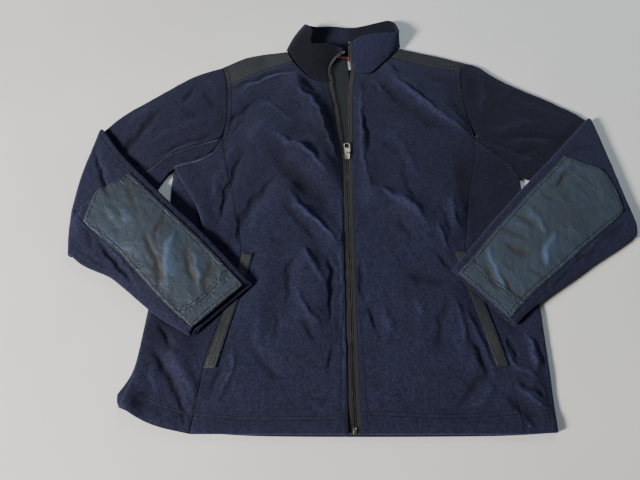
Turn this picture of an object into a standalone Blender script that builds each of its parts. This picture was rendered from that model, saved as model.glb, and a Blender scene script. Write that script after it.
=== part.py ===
"""Fleece zip jacket, size L, laid flat with its front up and both sleeves folded in at the elbow.

Frame: the zip runs along Y at x = 0, the collar is at +Y, the cloth rests on z = 0.
Sizes and tables are in millimetres, and right and left are the wearer's, so right is at -X.
"""
import math
from typing import NamedTuple

import bmesh
import bpy
from mathutils import Vector

MM = 0.001

# cloth
GAP = 0.3  # between two pieces at a seam
FLEECE = 3.0
HEM_WALLS = (4.6, 4.6, 3.3)  # by row: fleece turned up, and its line of stitching
YOKE_WALL = 2.8
NYLON = 0.9
NYLON_LIFT = 0.5
COLLAR_WALL = 1.8
COLLAR_GAP = 0.4
LOFT = 2.0  # how far the front floats above the back
SEAT = FLEECE + 0.4
HEM_SEAT = HEM_WALLS[0] + 0.5

# zip
HEM_Y = -397.0
TAPE = (0.3, 5.7)  # from the fleece edge to the teeth
TEETH = (5.85, 8.45)
TAPE_HALF = 0.4
TEETH_HALF = 1.0
FLAP_WALL = 1.0
FLAP_Z = SEAT + 0.2
ZIP_Z = SEAT + LOFT + FLEECE / 2

# slider and pull
SLIDER_Y = (50.3, 65.0)
PLATE = 1.2
ARCH_HALF = 1.2
PIVOT_Y = 57.0
PIVOT_RISE = 1.15  # over the slider's upper plate
PIN_RADIUS = 0.75
PIN_HALF = 3.2
ARM_INNER = 1.6
PULL_HALF = 0.7


class Finish(NamedTuple):
    colour: tuple
    roughness: float
    metallic: float


class Fold(NamedTuple):
    path: tuple
    rise: float
    left: float  # spread on the left of the path
    right: float


class Neck(NamedTuple):
    """One section of the stand collar: its seam point, tuck from the body, top point, bow in the middle."""
    seam: tuple
    seam_z: float
    tuck: float
    top: tuple
    top_z: float
    bow: tuple


FINISHES = {
    "fleece": Finish((0.012, 0.016, 0.045), 0.95, 0.0),
    "nylon": Finish((0.024, 0.034, 0.048), 0.42, 0.0),
    "yoke": Finish((0.020, 0.024, 0.024), 0.5, 0.0),
    "tape": Finish((0.010, 0.010, 0.013), 0.8, 0.0),
    "teeth": Finish((0.030, 0.027, 0.026), 0.45, 0.0),
    "flap": Finish((0.014, 0.016, 0.016), 0.7, 0.0),
    "metal": Finish((0.62, 0.58, 0.48), 0.3, 1.0),
    "label": Finish((0.60, 0.56, 0.55), 0.6, 0.0),
}

# seam lines, from the hem or the underarm upwards
ARMHOLE_RIGHT = ((-302, 35), (-268, 48), (-240, 66), (-223, 100), (-219, 135), (-220, 173), (-225, 223),
                 (-230, 248), (-238, 271))
ARMHOLE_LEFT = ((298, 18), (285, 43), (260, 70), (233, 101), (225, 150), (224, 205), (227, 259), (231, 272),
                (236, 284))
SIDE_RIGHT = ((-322, -359), (-311, -322), (-308, -281), (-306, -240), (-290, -200), (-262, -165),
              (-243, -130), (-238, -95), (-245, -60), (-262, -28), (-285, 5), (-302, 35))
SIDE_LEFT = ((274, -395), (279, -335), (283, -271), (286, -218), (289, -140), (293, -60), (298, 18))
BACK_SIDE_RIGHT = ((-326, -362), (-332, -347), (-312, -315), (-309, -260), (-306, -200), (-299, -140),
                   (-296, -80), (-298, -39), (-302, 0), (-302, 35))
POCKET_SEAM_RIGHT = ((-221, HEM_Y), (-219, -372), (-212, -310), (-170, -131), (-188, -40), (-208, 35),
                     (-223, 100))
POCKET_SEAM_LEFT = ((229, HEM_Y), (227, -372), (221, -307), (184, -126), (203, -30), (222, 45), (233, 101))
YOKE_SEAM_RIGHT = ((-225, 223), (-163, 259), (-99, 288))
YOKE_SEAM_LEFT = ((227, 259), (146, 281), (92, 300))
SHOULDER_RIGHT = ((-238, 271), (-202, 296), (-160, 308), (-114, 315))
SHOULDER_LEFT = ((236, 284), (190, 301), (150, 312), (113, 324))
BACK_YOKE_RIGHT = ((-230, 248), (-190, 270), (-150, 285), (-106, 303))
BACK_YOKE_LEFT = ((231, 272), (190, 284), (150, 293), (99, 311))
ZIP_EDGE_RIGHT = ((-8.6, HEM_Y), (-8.6, 50), (-11, 66), (-14, 92), (-21.5, 167), (-31, 229))
ZIP_EDGE_LEFT = ((8.6, HEM_Y), (8.6, 50), (11, 66), (13, 108), (14, 201), (22, 257))
HEM_RIGHT = ((-322, -359), (-300, -375), (-268, -388), (-221, -397))
HEM_LEFT = ((274, -395), (229, -396))
NECK_BACK = ((-114, 315), (-106, 303), (-60, 305), (0, 305), (60, 308), (99, 311), (113, 324))

# rows of the front, as heights on the pocket seam
HEM_ROWS = (HEM_Y, -386, -373, -361, -336)
WELT_ROWS = 6
ROWS_ABOVE_WELT = 10
WELT_SHARE = 0.082  # of the front's width
WELT_WIDTH = 17.0
TURNED_UNDER = 0.92  # of a side panel's first column, turned under where it meets the back
ROLLED_UNDER = 0.5  # the same, where it only rolls onto the back

SWELLS = (Fold(((-120, 70), (-105, 20)), 4, 60, 60), Fold(((110, 120), (120, 60)), 3.5, 60, 60),
          Fold(((-110, -180), (-120, -250)), 3, 55, 55), Fold(((100, -170), (110, -260)), 3, 60, 60))
FOLDS_RIGHT = (
    Fold(((-104, 240), (-78, 204), (-51, 166), (-39, 113), (-27, 52)), 8, 9, 20),
    Fold(((-152, 112), (-118, 101), (-91, 76), (-66, 50), (-24, 14)), 9, 14, 12),
    Fold(((-101, -18), (-74, -48), (-46, -76), (-20, -106)), 9, 14, 10),
    Fold(((-170, 168), (-141, 167), (-114, 147), (-93, 131)), 5, 12, 14),
    Fold(((-119, 69), (-135, 26), (-152, -20), (-172, -100)), -5, 15, 15),
    Fold(((-196, 50), (-207, 3), (-217, -60)), -5, 12, 12),
    Fold(((-210, 127), (-188, 150), (-163, 178)), -5, 11, 11),
    Fold(((-214, 212), (-172, 240), (-123, 264), (-92, 275)), -4, 9, 9),
    Fold(((-205, 190), (-172, 222), (-123, 243), (-92, 250)), 4, 10, 14),
    Fold(((-95, 26), (-65, -32), (-30, -86)), -5, 18, 18),
    Fold(((-83, -66), (-46, -112)), -6, 12, 12),
    Fold(((-82, -122), (-64, -147), (-40, -180)), 5, 12, 12),
    Fold(((-91, -127), (-101, -157), (-107, -194), (-112, -231)), -6, 12, 12),
    Fold(((-71, -231), (-50, -248), (-28, -261)), 4, 11, 11),
    Fold(((-149, -278), (-128, -299), (-102, -315)), -5, 12, 12),
    Fold(((-178, -262), (-185, -299), (-194, -338)), -5, 10, 10),
    Fold(((-288, -274), (-269, -315), (-243, -354), (-230, -378)), -6, 12, 12),
    Fold(((-262, -262), (-246, -305), (-228, -345)), 5, 11, 11),
)
FOLDS_LEFT = (
    Fold(((78, 276), (108, 224), (148, 181), (192, 147), (218, 112)), 10, 16, 12),
    Fold(((78, 246), (116, 183), (165, 142)), -4, 14, 14),
    Fold(((54, 242), (64, 217), (79, 202)), 4, 8, 8),
    Fold(((34, 238), (36, 195), (34, 127), (33, 63), (34, 14), (40, -18)), 5, 9, 10),
    Fold(((41, -23), (80, -23), (112, -48), (130, -78), (146, -108)), 8, 13, 13),
    Fold(((172, -12), (174, -64), (174, -92)), 5, 12, 12),
    Fold(((204, 3), (203, -54), (190, -90)), -5, 16, 16),
    Fold(((93, -157), (130, -185), (155, -188)), -4, 16, 16),
    Fold(((152, -170), (166, -240), (182, -300), (188, -325)), 5, 10, 12),
    Fold(((195, -331), (168, -350), (150, -369)), -5, 12, 12),
    Fold(((236, -312), (252, -335), (266, -360)), 5, 11, 11),
    Fold(((245, -240), (243, -290)), -4, 11, 11),
)

# sleeves: outlines as they lie, the fold line at the elbow, and shares of the width along them
TURN_Z = 7.3  # height of the elbow fold's axis
SLEEVE_TOP = 6.7
COLUMNS_CUFF = (0.0, 0.04, 0.07, 0.10, 0.30, 0.52, 0.72, 0.905, 1.0)
UNDER_SEAM_DIP = (0, -22, -22, -15, -12)  # by row, how far the seam hangs below the column's own line
SEAM_COLUMN = 3
STRIP_COLUMN = 7
UPPER_ROWS, TURN_ROWS, FORE_ROWS = 9, 6, 12
PATCH_ROW = 4  # the forearm row that the whole width of the patch reaches
UNDERARM_CLEAR = 3.6  # the sleeve starts this far past the body's corner


class Sleeve(NamedTuple):
    side: float  # -1 right, +1 left
    armhole: tuple
    top: tuple
    low: tuple
    fold: tuple  # from low to top
    fore_top: tuple
    fore_low: tuple
    lift: tuple  # (from x, to x, height) of the forearm where it climbs onto the front
    folds: tuple
    fore_folds: tuple
    patch_start: tuple  # where the patch starts, in rows of the forearm, for each column
    slip: float  # how far the cuff's lower side looks out below the upper one
    columns: tuple  # shares of the width at the elbow


SLEEVE_RIGHT = Sleeve(
    -1.0, ARMHOLE_RIGHT,
    ((-238, 271), (-263, 263), (-288, 252), (-346, 205), (-383, 175), (-413, 151), (-438, 115)),
    ((-306, 33), (-321, 1), (-331, -29), (-352, -72), (-398, -112), (-439, -136)),
    ((-439, -136), (-448, -86), (-452, -36), (-450, 17), (-445, 60), (-438, 115)),
    ((-438, 115), (-393, 57), (-350, 14), (-309, -27), (-234, -96), (-155, -180)),
    ((-439, -136), (-419, -154), (-371, -172), (-342, -194), (-306, -223), (-279, -242), (-241, -262)),
    (370, 305, 2.9),
    (Fold(((-270, 250), (-258, 202), (-230, 174)), 4, 11, 12), Fold(((-265, 231), (-249, 185)), -3, 10, 10),
     Fold(((-355, 150), (-321, 158), (-285, 160)), 3, 14, 14),
     Fold(((-402, 60), (-380, 96), (-361, 127)), -3, 10, 10)),
    (Fold(((-415, 40), (-402, 0), (-398, -50)), 2.5, 14, 14), Fold(((-330, -70), (-335, -120)), 2.0, 14, 14),
     Fold(((-282, -110), (-270, -165), (-262, -205)), 2.0, 10, 12)),
    (1.1, 1.2, 1.45, 2.55, 3.15), 7.0, (0.0, 0.11, 0.22, 0.33, 0.47, 0.61, 0.77, 0.925, 1.0))
SLEEVE_LEFT = Sleeve(
    1.0, ARMHOLE_LEFT,
    ((236, 284), (262, 279), (285, 247), (318, 226), (377, 190), (420, 163), (442, 140)),
    ((301, 14), (330, 5), (370, -30), (415, -75), (455, -104)),
    ((455, -104), (463, -82), (458, -36), (454, 13), (450, 69), (442, 140)),
    ((442, 140), (404, 101), (353, 47), (294, -11), (254, -54), (223, -86), (184, -131), (157, -159)),
    ((455, -104), (422, -127), (368, -159), (328, -186), (289, -210), (263, -228), (240, -249)),
    (385, 320, 2.0),
    (Fold(((262, 262), (261, 209), (248, 145)), 5, 10, 12),
     Fold(((245, 258), (241, 195), (242, 140)), -3, 8, 8),
     Fold(((255, 101), (317, 110), (395, 128)), 3, 14, 14)),
    (Fold(((300, -40), (330, -62), (345, -95)), 2.0, 12, 12), Fold(((270, -80), (300, -150)), 2.5, 12, 12),
     Fold(((395, 20), (380, -20)), 2.0, 14, 14)),
    (0.35, 0.3, 0.6, 1.9, 2.85), 3.0, (0.0, 0.08, 0.15, 0.22, 0.40, 0.58, 0.76, 0.925, 1.0))

COLLAR = (
    Neck((-31, 229), 7.6, 0.8, (-1, 309), 17, (-16, 6)),
    Neck((-43, 231), 7.8, 0.8, (-20, 315), 24, (-9, 3)),
    Neck((-55, 237), 8.0, 0.8, (-50, 314), 25, (-4, 0)),
    Neck((-66, 245), 8.2, 0.9, (-62, 315), 23, (0, 0)),
    Neck((-77, 257), 8.3, 0.9, (-65, 323), 23.5, (0, 0)),
    Neck((-87, 269), 8.4, 1.0, (-64, 334), 26, (-1, 0)),
    Neck((-99, 288), 8.4, 1.6, (-60, 344), 28, (-4, 2)),
    Neck((-104, 296), 8.2, 2.0, (-63, 354), 28.5, (-8, 4)),
    Neck((-109, 306), 7.6, 3.0, (-71, 368), 25, (-7, 3)),
    Neck((-114, 315), 5.6, 3.2, (-77, 377), 18, (-4, 2)),
    Neck((-109, 308), 3.8, 2.6, (-74, 380), 14, (-4, 1)),
    Neck((-106, 303), 2.9, 1.6, (-66, 381), 11, (-4, 0)),
    Neck((-84, 305), 2.7, 0.8, (-51, 379), 8.5, (0, 0)),
    Neck((-58, 305), 2.7, 0.6, (-30, 384), 7.5, (0, 0)),
    Neck((-29, 305), 2.7, 0.6, (-10, 381), 7.5, (0, 0)),
    Neck((0, 305), 2.7, 0.6, (12, 377), 7.5, (0, 0)),
    Neck((29, 306), 2.7, 0.6, (34, 381), 7.5, (0, 0)),
    Neck((58, 308), 2.7, 0.6, (56, 388), 8, (0, 0)),
    Neck((84, 310), 2.7, 0.8, (77, 394), 9, (0, 0)),
    Neck((99, 311), 2.8, 1.6, (90, 396), 11, (3, 0)),
    Neck((106, 318), 3.8, 2.6, (97, 393), 14, (3, 0)),
    Neck((113, 324), 5.6, 3.2, (101, 386), 18, (3, 0)),
    Neck((107, 318), 7.6, 3.0, (106, 373), 21, (5, 0)),
    Neck((92, 300), 8.4, 1.6, (110, 352), 24, (4, 0)),
    Neck((80, 286), 8.4, 1.2, (103, 345), 26, (3, 0)),
    Neck((66, 269), 8.3, 0.9, (82, 343), 26, (2, 0)),
    Neck((52, 253), 8.1, 0.8, (58, 341), 26, (0, 0)),
    Neck((36, 254), 7.9, 0.8, (35, 338), 24, (0, 0)),
    Neck((22, 257), 7.6, 0.8, (18, 328), 19, (-3, 0)),
)
COLLAR_COLUMNS = 4
COLLAR_RIGHT_YOKE, COLLAR_LEFT_YOKE = 6, 23  # the sections at the yokes' front seams


# ---------------------------------------------------------------- small geometry helpers
def mix(a, b, t):
    return a + (b - a) * t


def smooth(t):
    t = min(max(t, 0.0), 1.0)
    return t * t * (3 - 2 * t)


def points(table):
    return [Vector((float(x), float(y))) for x, y in table]


def shares(line):
    """Distance along a line at each of its points, as a share of the whole."""
    total = [0.0]
    for a, b in zip(line, line[1:]):
        total.append(total[-1] + (b - a).length)
    return [t / total[-1] for t in total]


def at_share(line, share, marks=None):
    marks = marks or shares(line)
    for i in range(len(line) - 1):
        if share <= marks[i + 1] or i == len(line) - 2:
            return mix(line[i], line[i + 1], (share - marks[i]) / (marks[i + 1] - marks[i]))


def walk(line, cells):
    marks = shares(line)
    return [at_share(line, i / cells, marks) for i in range(cells + 1)]


def split(line, parts):
    """Each stretch of a line in equal parts, its own points kept."""
    out = [mix(a, b, i / parts) for a, b in zip(line, line[1:]) for i in range(parts)]
    return out + [line[-1]]


def at_height(line, y):
    """The point of a rising line at one y."""
    for a, b in zip(line, line[1:]):
        if y <= b.y or b is line[-1]:
            return mix(a, b, (y - a.y) / (b.y - a.y))


def nearest(p, path):
    """Distance from p to a path, positive on the path's left."""
    best = (1e9, 1.0)
    for a, b in zip(path, path[1:]):
        run = b - a
        t = min(max((p - a).dot(run) / run.length_squared, 0.0), 1.0)
        off = p - a - run * t
        best = min(best, (off.length, 1.0 if run.x * (p - a).y - run.y * (p - a).x > 0 else -1.0))
    return best[0] * best[1]


def prepared(folds):
    return [(points(f.path), f.rise, f.left, f.right) for f in folds]


def rise_of(p, folds):
    total = 0.0
    for path, rise, left, right in folds:
        off = nearest(p, path)
        total += rise * math.exp(-(off / (left if off > 0 else right)) ** 2)
    return total


def inside(p, loop):
    odd = False
    for a, b in zip(loop, loop[1:] + loop[:1]):
        if (a.y > p.y) != (b.y > p.y) and p.x < a.x + (b.x - a.x) * (p.y - a.y) / (b.y - a.y):
            odd = not odd
    return odd


def coons(low, high, first, last):
    """Plan of a panel between its edges: low and high run across it, first and last run up its sides."""
    s_marks = [(a + b) / 2 for a, b in zip(shares(low), shares(high))]
    t_marks = [(a + b) / 2 for a, b in zip(shares(first), shares(last))]
    grid = []
    for j, t in enumerate(t_marks):
        row = []
        for i, s in enumerate(s_marks):
            ruled = mix(low[i], high[i], t) + mix(first[j], last[j], s)
            corners = mix(mix(low[0], low[-1], s), mix(high[0], high[-1], s), t)
            row.append(ruled - corners)
        grid.append(row)
    return grid


def inset(grid, gap):
    """The plan with its outer edge drawn in by half a seam gap."""
    rows, cols = len(grid), len(grid[0])
    loop = ([(0, c) for c in range(cols)] + [(r, cols - 1) for r in range(1, rows)]
            + [(rows - 1, c) for c in range(cols - 2, -1, -1)] + [(r, 0) for r in range(rows - 2, 0, -1)])
    spots = [grid[r][c] for r, c in loop]
    turn = sum(a.x * b.y - a.y * b.x for a, b in zip(spots, spots[1:] + spots[:1]))
    sign = 1.0 if turn > 0 else -1.0
    out = [list(row) for row in grid]
    for k, (r, c) in enumerate(loop):
        before, here, after = spots[k - 1], spots[k], spots[(k + 1) % len(spots)]
        n1 = Vector((-(here - before).y, (here - before).x)).normalized() * sign
        n2 = Vector((-(after - here).y, (after - here).x)).normalized() * sign
        middle = (n1 + n2).normalized()
        out[r][c] = here + middle * (gap / 2 / max(middle.dot(n1), 0.5))
    return out


# ---------------------------------------------------------------- making solids
def material(finish_name):
    found = bpy.data.materials.get(finish_name)
    if found:
        return found
    finish = FINISHES[finish_name]
    made = bpy.data.materials.new(finish_name)
    made.use_nodes = True
    shader = made.node_tree.nodes["Principled BSDF"]
    shader.inputs["Base Color"].default_value = (*finish.colour, 1.0)
    shader.inputs["Roughness"].default_value = finish.roughness
    shader.inputs["Metallic"].default_value = finish.metallic
    made.diffuse_color = (*finish.colour, 1.0)
    return made


def solid(name, verts, faces, finish_name, origin=Vector((0, 0, 0))):
    """A named closed object from points in millimetres."""
    mesh = bpy.data.meshes.new(name)
    shape = bmesh.new()
    made = [shape.verts.new((v - origin) * MM) for v in verts]
    for face in faces:
        shape.faces.new([made[i] for i in face])
    bmesh.ops.recalc_face_normals(shape, faces=shape.faces)
    if shape.calc_volume(signed=True) < 0:
        bmesh.ops.reverse_faces(shape, faces=shape.faces)
    shape.to_mesh(mesh)
    shape.free()
    mesh.materials.append(material(finish_name))
    thing = bpy.data.objects.new(name, mesh)
    thing.location = origin * MM
    bpy.context.collection.objects.link(thing)
    return thing


def plate(name, outer, inner, finish_name, flipped=None):
    """Close two matching grids of points into one solid wall; one cell may take its other diagonal."""
    rows, cols = len(outer), len(outer[0])
    verts = [p for grid in (outer, inner) for row in grid for p in row]

    def at(layer, row, col):
        return layer * rows * cols + row * cols + col

    faces = []
    for r in range(rows - 1):
        for c in range(cols - 1):
            for layer in (0, 1):
                corners = [at(layer, r, c), at(layer, r, c + 1), at(layer, r + 1, c + 1), at(layer, r + 1, c)]
                i, j, k, m = corners if (r, c) != flipped else corners[1:] + corners[:1]
                faces += [(i, j, k), (i, k, m)]
    rim = ([(0, c) for c in range(cols)] + [(r, cols - 1) for r in range(1, rows)]
           + [(rows - 1, c) for c in range(cols - 2, -1, -1)] + [(r, 0) for r in range(rows - 2, 0, -1)])
    for a, b in zip(rim, rim[1:] + rim[:1]):
        faces.append((at(0, *a), at(0, *b), at(1, *b)))
        faces.append((at(0, *a), at(1, *b), at(1, *a)))
    return solid(name, verts, faces, finish_name)


def prism(name, outline, low, high, finish_name, origin=Vector((0, 0, 0)), axis="Z"):
    """An outline drawn out along an axis."""
    def spot(u, v, w):
        return Vector((u, v, w)) if axis == "Z" else Vector((w, u, v))
    n = len(outline)
    verts = [spot(u, v, low) for u, v in outline] + [spot(u, v, high) for u, v in outline]
    faces = [tuple(range(n)), tuple(range(n, 2 * n))]
    faces += [(i, (i + 1) % n, n + (i + 1) % n, n + i) for i in range(n)]
    return solid(name, verts, faces, finish_name, origin)


def combine(base, other, operation):
    cut = base.modifiers.new(operation, "BOOLEAN")
    cut.operation, cut.solver, cut.object = operation, "EXACT", other
    bpy.context.view_layer.update()
    made = bpy.data.meshes.new_from_object(base.evaluated_get(bpy.context.evaluated_depsgraph_get()))
    base.modifiers.remove(cut)
    base.data = made
    bpy.data.objects.remove(other)


def rounded(half_x, low_y, high_y, corner):
    """A box outline with its corners cut."""
    return ((-half_x + corner, low_y), (half_x - corner, low_y), (half_x, low_y + corner),
            (half_x, high_y - corner), (half_x - corner, high_y), (-half_x + corner, high_y),
            (-half_x, high_y - corner), (-half_x, low_y + corner))


# ---------------------------------------------------------------- the body
def front_loop():
    """The outline of both fronts, where their cloth comes down to the back."""
    right = points(SIDE_RIGHT) + points(ARMHOLE_RIGHT)[1:7] + points(YOKE_SEAM_RIGHT)[1:]
    left = points(SIDE_LEFT) + points(ARMHOLE_LEFT)[1:7] + points(YOKE_SEAM_LEFT)[1:]
    neck = [Vector(neck.seam) for neck in COLLAR]
    return right, left, neck[:COLLAR_RIGHT_YOKE + 1], neck[COLLAR_LEFT_YOKE:]


def fore_loop(sleeve):
    return points(sleeve.fore_top) + points(sleeve.fore_low)[::-1]


class Front:
    """Heights of the front's cloth anywhere on its plan."""

    def __init__(self):
        self.edges = front_loop()
        self.pressed = (fore_loop(SLEEVE_RIGHT), fore_loop(SLEEVE_LEFT))
        self.folds = prepared(SWELLS + FOLDS_RIGHT + FOLDS_LEFT)
        self.welts = (points(POCKET_SEAM_RIGHT[2:4]), points(POCKET_SEAM_LEFT[2:4]))
        self.rolled = points(SIDE_RIGHT)
        self.zips = (points(ZIP_EDGE_RIGHT), points(ZIP_EDGE_LEFT))

    def zip_x(self, p):
        edge = self.zips[p.x > 0]
        return at_height(edge, min(p.y, edge[-1].y)).x

    def under(self, p):
        """Height of the cloth's lower side."""
        fade = min(smooth(abs(nearest(p, edge)) / 32) for edge in self.edges)
        for loop in self.pressed:
            fade *= 0.0 if inside(p, loop) else smooth(abs(nearest(p, loop + loop[:1])) / 26)
        flat = min(smooth((abs(nearest(p, welt)) - 16) / 24) for welt in self.welts)
        flat *= 1 - math.exp(-(p.x / 17) ** 4)
        height = SEAT + fade * max(LOFT + flat * rise_of(p, self.folds), 0.0)
        near_zip = 1 - smooth((abs(p.x - self.zip_x(p)) - 15) / 14)
        height = max(height, mix(SEAT, SEAT + LOFT, near_zip))
        off = abs(nearest(p, self.rolled))
        height += 3.6 * math.exp(-(off / 16) ** 2) * smooth((-p.x - 150) / 60)
        return height


def wall_of(row):
    return HEM_WALLS[row] if row < len(HEM_WALLS) else FLEECE


def seat_of(row):
    return HEM_SEAT if row < len(HEM_WALLS) else SEAT


def seam_rows(seam, armhole_start):
    """Points up a pocket seam: hem, below the welt, along it, above it."""
    line = points(seam)
    welt_low, welt_high = line[2].y, line[3].y
    heights = list(HEM_ROWS)
    heights += [mix(welt_low, welt_high, i / WELT_ROWS) for i in range(WELT_ROWS + 1)]
    heights += [mix(welt_high, armhole_start.y, i / ROWS_ABOVE_WELT) for i in range(1, ROWS_ABOVE_WELT + 1)]
    return [at_height(line, y) for y in heights]


def raised(grid, front):
    inner = [[Vector((p.x, p.y, max(front.under(p), seat_of(j)))) for p in row] for j, row in enumerate(grid)]
    outer = [[p + Vector((0, 0, wall_of(j))) for p in row] for j, row in enumerate(inner)]
    return outer, inner


def front_centre(name, side, seam, armhole, yoke_seam, zip_edge, collar_rows, front):
    """The part between the zip and the pocket seam. Returns its grids for the welt."""
    arm = split(points(armhole)[SEAM_COLUMN:7], 2)
    outer_edge = seam_rows(seam, arm[0]) + arm[1:]
    yoke = points(yoke_seam)
    neck = [Vector(COLLAR[i].seam) for i in collar_rows]
    top = [mix(yoke[0], yoke[1], t) for t in (0.0, 0.27, 0.64)]
    top += [mix(yoke[1], yoke[2], t) for t in (0.0, 0.5)] + neck
    marks = shares(top)
    marks[1] = WELT_SHARE
    zip_line = points(zip_edge)
    hem_corner = outer_edge[0]
    low = [mix(hem_corner, zip_line[0], s) for s in marks]
    fixed = len(HEM_ROWS) + WELT_ROWS + 1
    inner_edge = [at_height(zip_line, p.y) for p in outer_edge[:fixed]]
    rest = len(outer_edge) - fixed
    start, end = inner_edge[-1].y, zip_line[-1].y
    inner_edge += [at_height(zip_line, mix(start, end, i / rest)) for i in range(1, rest + 1)]
    grid = coons(low, top, outer_edge, inner_edge)
    for j in range(len(HEM_ROWS), fixed):  # the column that the welt's inner edge lies on
        grid[j][1] = grid[j][0] + Vector((-side * WELT_WIDTH, 0.0))
    grid = inset(grid, GAP)
    outer, inner = raised(grid, front)
    plate(name, outer, inner, "fleece")
    return outer


def welt(name, outer):
    """The strip on the pocket seam, made from the front's own points."""
    rows = outer[len(HEM_ROWS):len(HEM_ROWS) + WELT_ROWS + 1]
    low = [[row[0] + Vector((0, 0, GAP)), row[1] + Vector((0, 0, GAP))] for row in rows]
    high = [[p + Vector((0, 0, 1.4)) for p in row] for row in low]
    plate(name, high, low, "nylon")


def turned(face, back, wall):
    """One section over an edge: face runs to the edge, back runs away from it. Both hold outer points."""
    edge, before = face[-1], face[-2]
    floor = back[0].z
    radius = (edge.z - floor) / 2
    inward = Vector((before.x - edge.x, before.y - edge.y)).normalized()
    wall_in = min(wall, radius - 0.15)
    centre = Vector((edge.x, edge.y)) + inward * radius
    outer, inner = [], []
    for p in face[:-1]:
        outer.append(p)
        inner.append(p - Vector((0, 0, wall)))
    for step in range(5):
        angle = math.pi * step / 4
        for ring, r in ((outer, radius), (inner, radius - wall_in)):
            spot = centre - inward * (r * math.sin(angle))
            ring.append(Vector((spot.x, spot.y, floor + radius + r * math.cos(angle))))
    for p in back:
        outer.append(p)
        inner.append(p + Vector((0, 0, wall_in)))
    return outer, inner


def front_side(name, seam, armhole, side_line, hem, front, floor_of):
    """The part between the pocket seam and the side, turned over the side edge. Returns its plan."""
    arm = split(points(armhole)[:SEAM_COLUMN + 1], 2)
    inner_edge = seam_rows(seam, arm[-1])
    side = points(side_line)
    outer_edge = [at_share(side, s) for s in shares(inner_edge)]
    low = walk(points(hem), len(arm) - 1)
    plan = inset(coons(low, arm, outer_edge, inner_edge), GAP)
    outer, inner = [], []
    for j, row in enumerate(plan):
        floor, wall = floor_of(j), wall_of(j)
        face = [Vector((p.x, p.y, max(front.under(p), seat_of(j)) + wall)) for p in row[::-1]]
        face[-1].z = max(face[-1].z, floor + 2 * wall + 0.5)
        face[-2].z = max(face[-2].z, floor + 2 * wall + 0.4)
        reach = (row[1] - row[0]) * (TURNED_UNDER if floor == 0.0 else ROLLED_UNDER)
        back = [Vector((*(row[0] + reach), floor))]
        ring = turned(face, back, wall)
        outer.append(ring[0])
        inner.append(ring[1])
    plate(name, outer, inner, "fleece")
    return plan


def back_panel(side_plan):
    """The back, flat on the ground, between the left side's turned edge and its own right edge."""
    left_edge = [row[0] + (row[1] - row[0]) * TURNED_UNDER for row in side_plan]
    arm_left = points(ARMHOLE_LEFT)
    arm_right = points(ARMHOLE_RIGHT)
    start = mix(arm_left[0], arm_left[1], 0.5)
    left_edge[-1] = mix(arm_left[0], start, TURNED_UNDER)
    left = left_edge + [start] + split(arm_left[1:8], 1)
    right_side = points(BACK_SIDE_RIGHT)
    marks = shares(left_edge)
    right = [at_share(right_side, s) for s in marks] + [mix(arm_right[0], arm_right[1], 0.5)] + arm_right[1:8]
    yoke_right, yoke_left = points(BACK_YOKE_RIGHT), points(BACK_YOKE_LEFT)
    top = yoke_right + points(NECK_BACK)[2:5] + yoke_left[::-1]
    hem_right, hem_left = right[0], left[0]
    low = [mix(hem_right, hem_left, s) for s in shares(top)]
    for p in low[1:-1]:
        p.y = mix(p.y, -400.0, 1 - abs(p.x / 330) ** 4)
    plan = inset(coons(low, top, right, left), GAP)
    outer, inner = [], []
    for j, row in enumerate(plan):
        walls = [wall_of(j)] * (len(row) - 1) + [FLEECE]
        outer.append([Vector((p.x, p.y, wall)) for p, wall in zip(row, walls)])
        inner.append([Vector((p.x, p.y, 0.0)) for p in row])
    plate("back", outer, inner, "fleece")


def yoke(name, armhole, front_seam, shoulder, back_seam):
    """The shoulder piece, from its front seam over the shoulder edge to the back seam."""
    first = split(points(front_seam), 3)
    middle, last = split(points(shoulder), 2), split(points(back_seam), 2)
    halves = [mix(a, b, 0.5) for a, b in zip(first, middle)]
    halves[0] = points(armhole)[7]
    plan = inset([list(row) for row in zip(first, halves, middle)], GAP)
    under = inset([list(row) for row in zip(middle, last)], GAP)
    outer, inner = [], []
    for face_row, back_row in zip(plan, under):
        heights = (SEAT + FLEECE, SEAT + FLEECE + 0.4, SLEEVE_TOP)
        face = [Vector((p.x, p.y, z)) for p, z in zip(face_row, heights)]
        ring = turned(face, [Vector((*back_row[1], 0.0))], YOKE_WALL)
        outer.append(ring[0])
        inner.append(ring[1])
    plate(name, outer, inner, "yoke")


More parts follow.
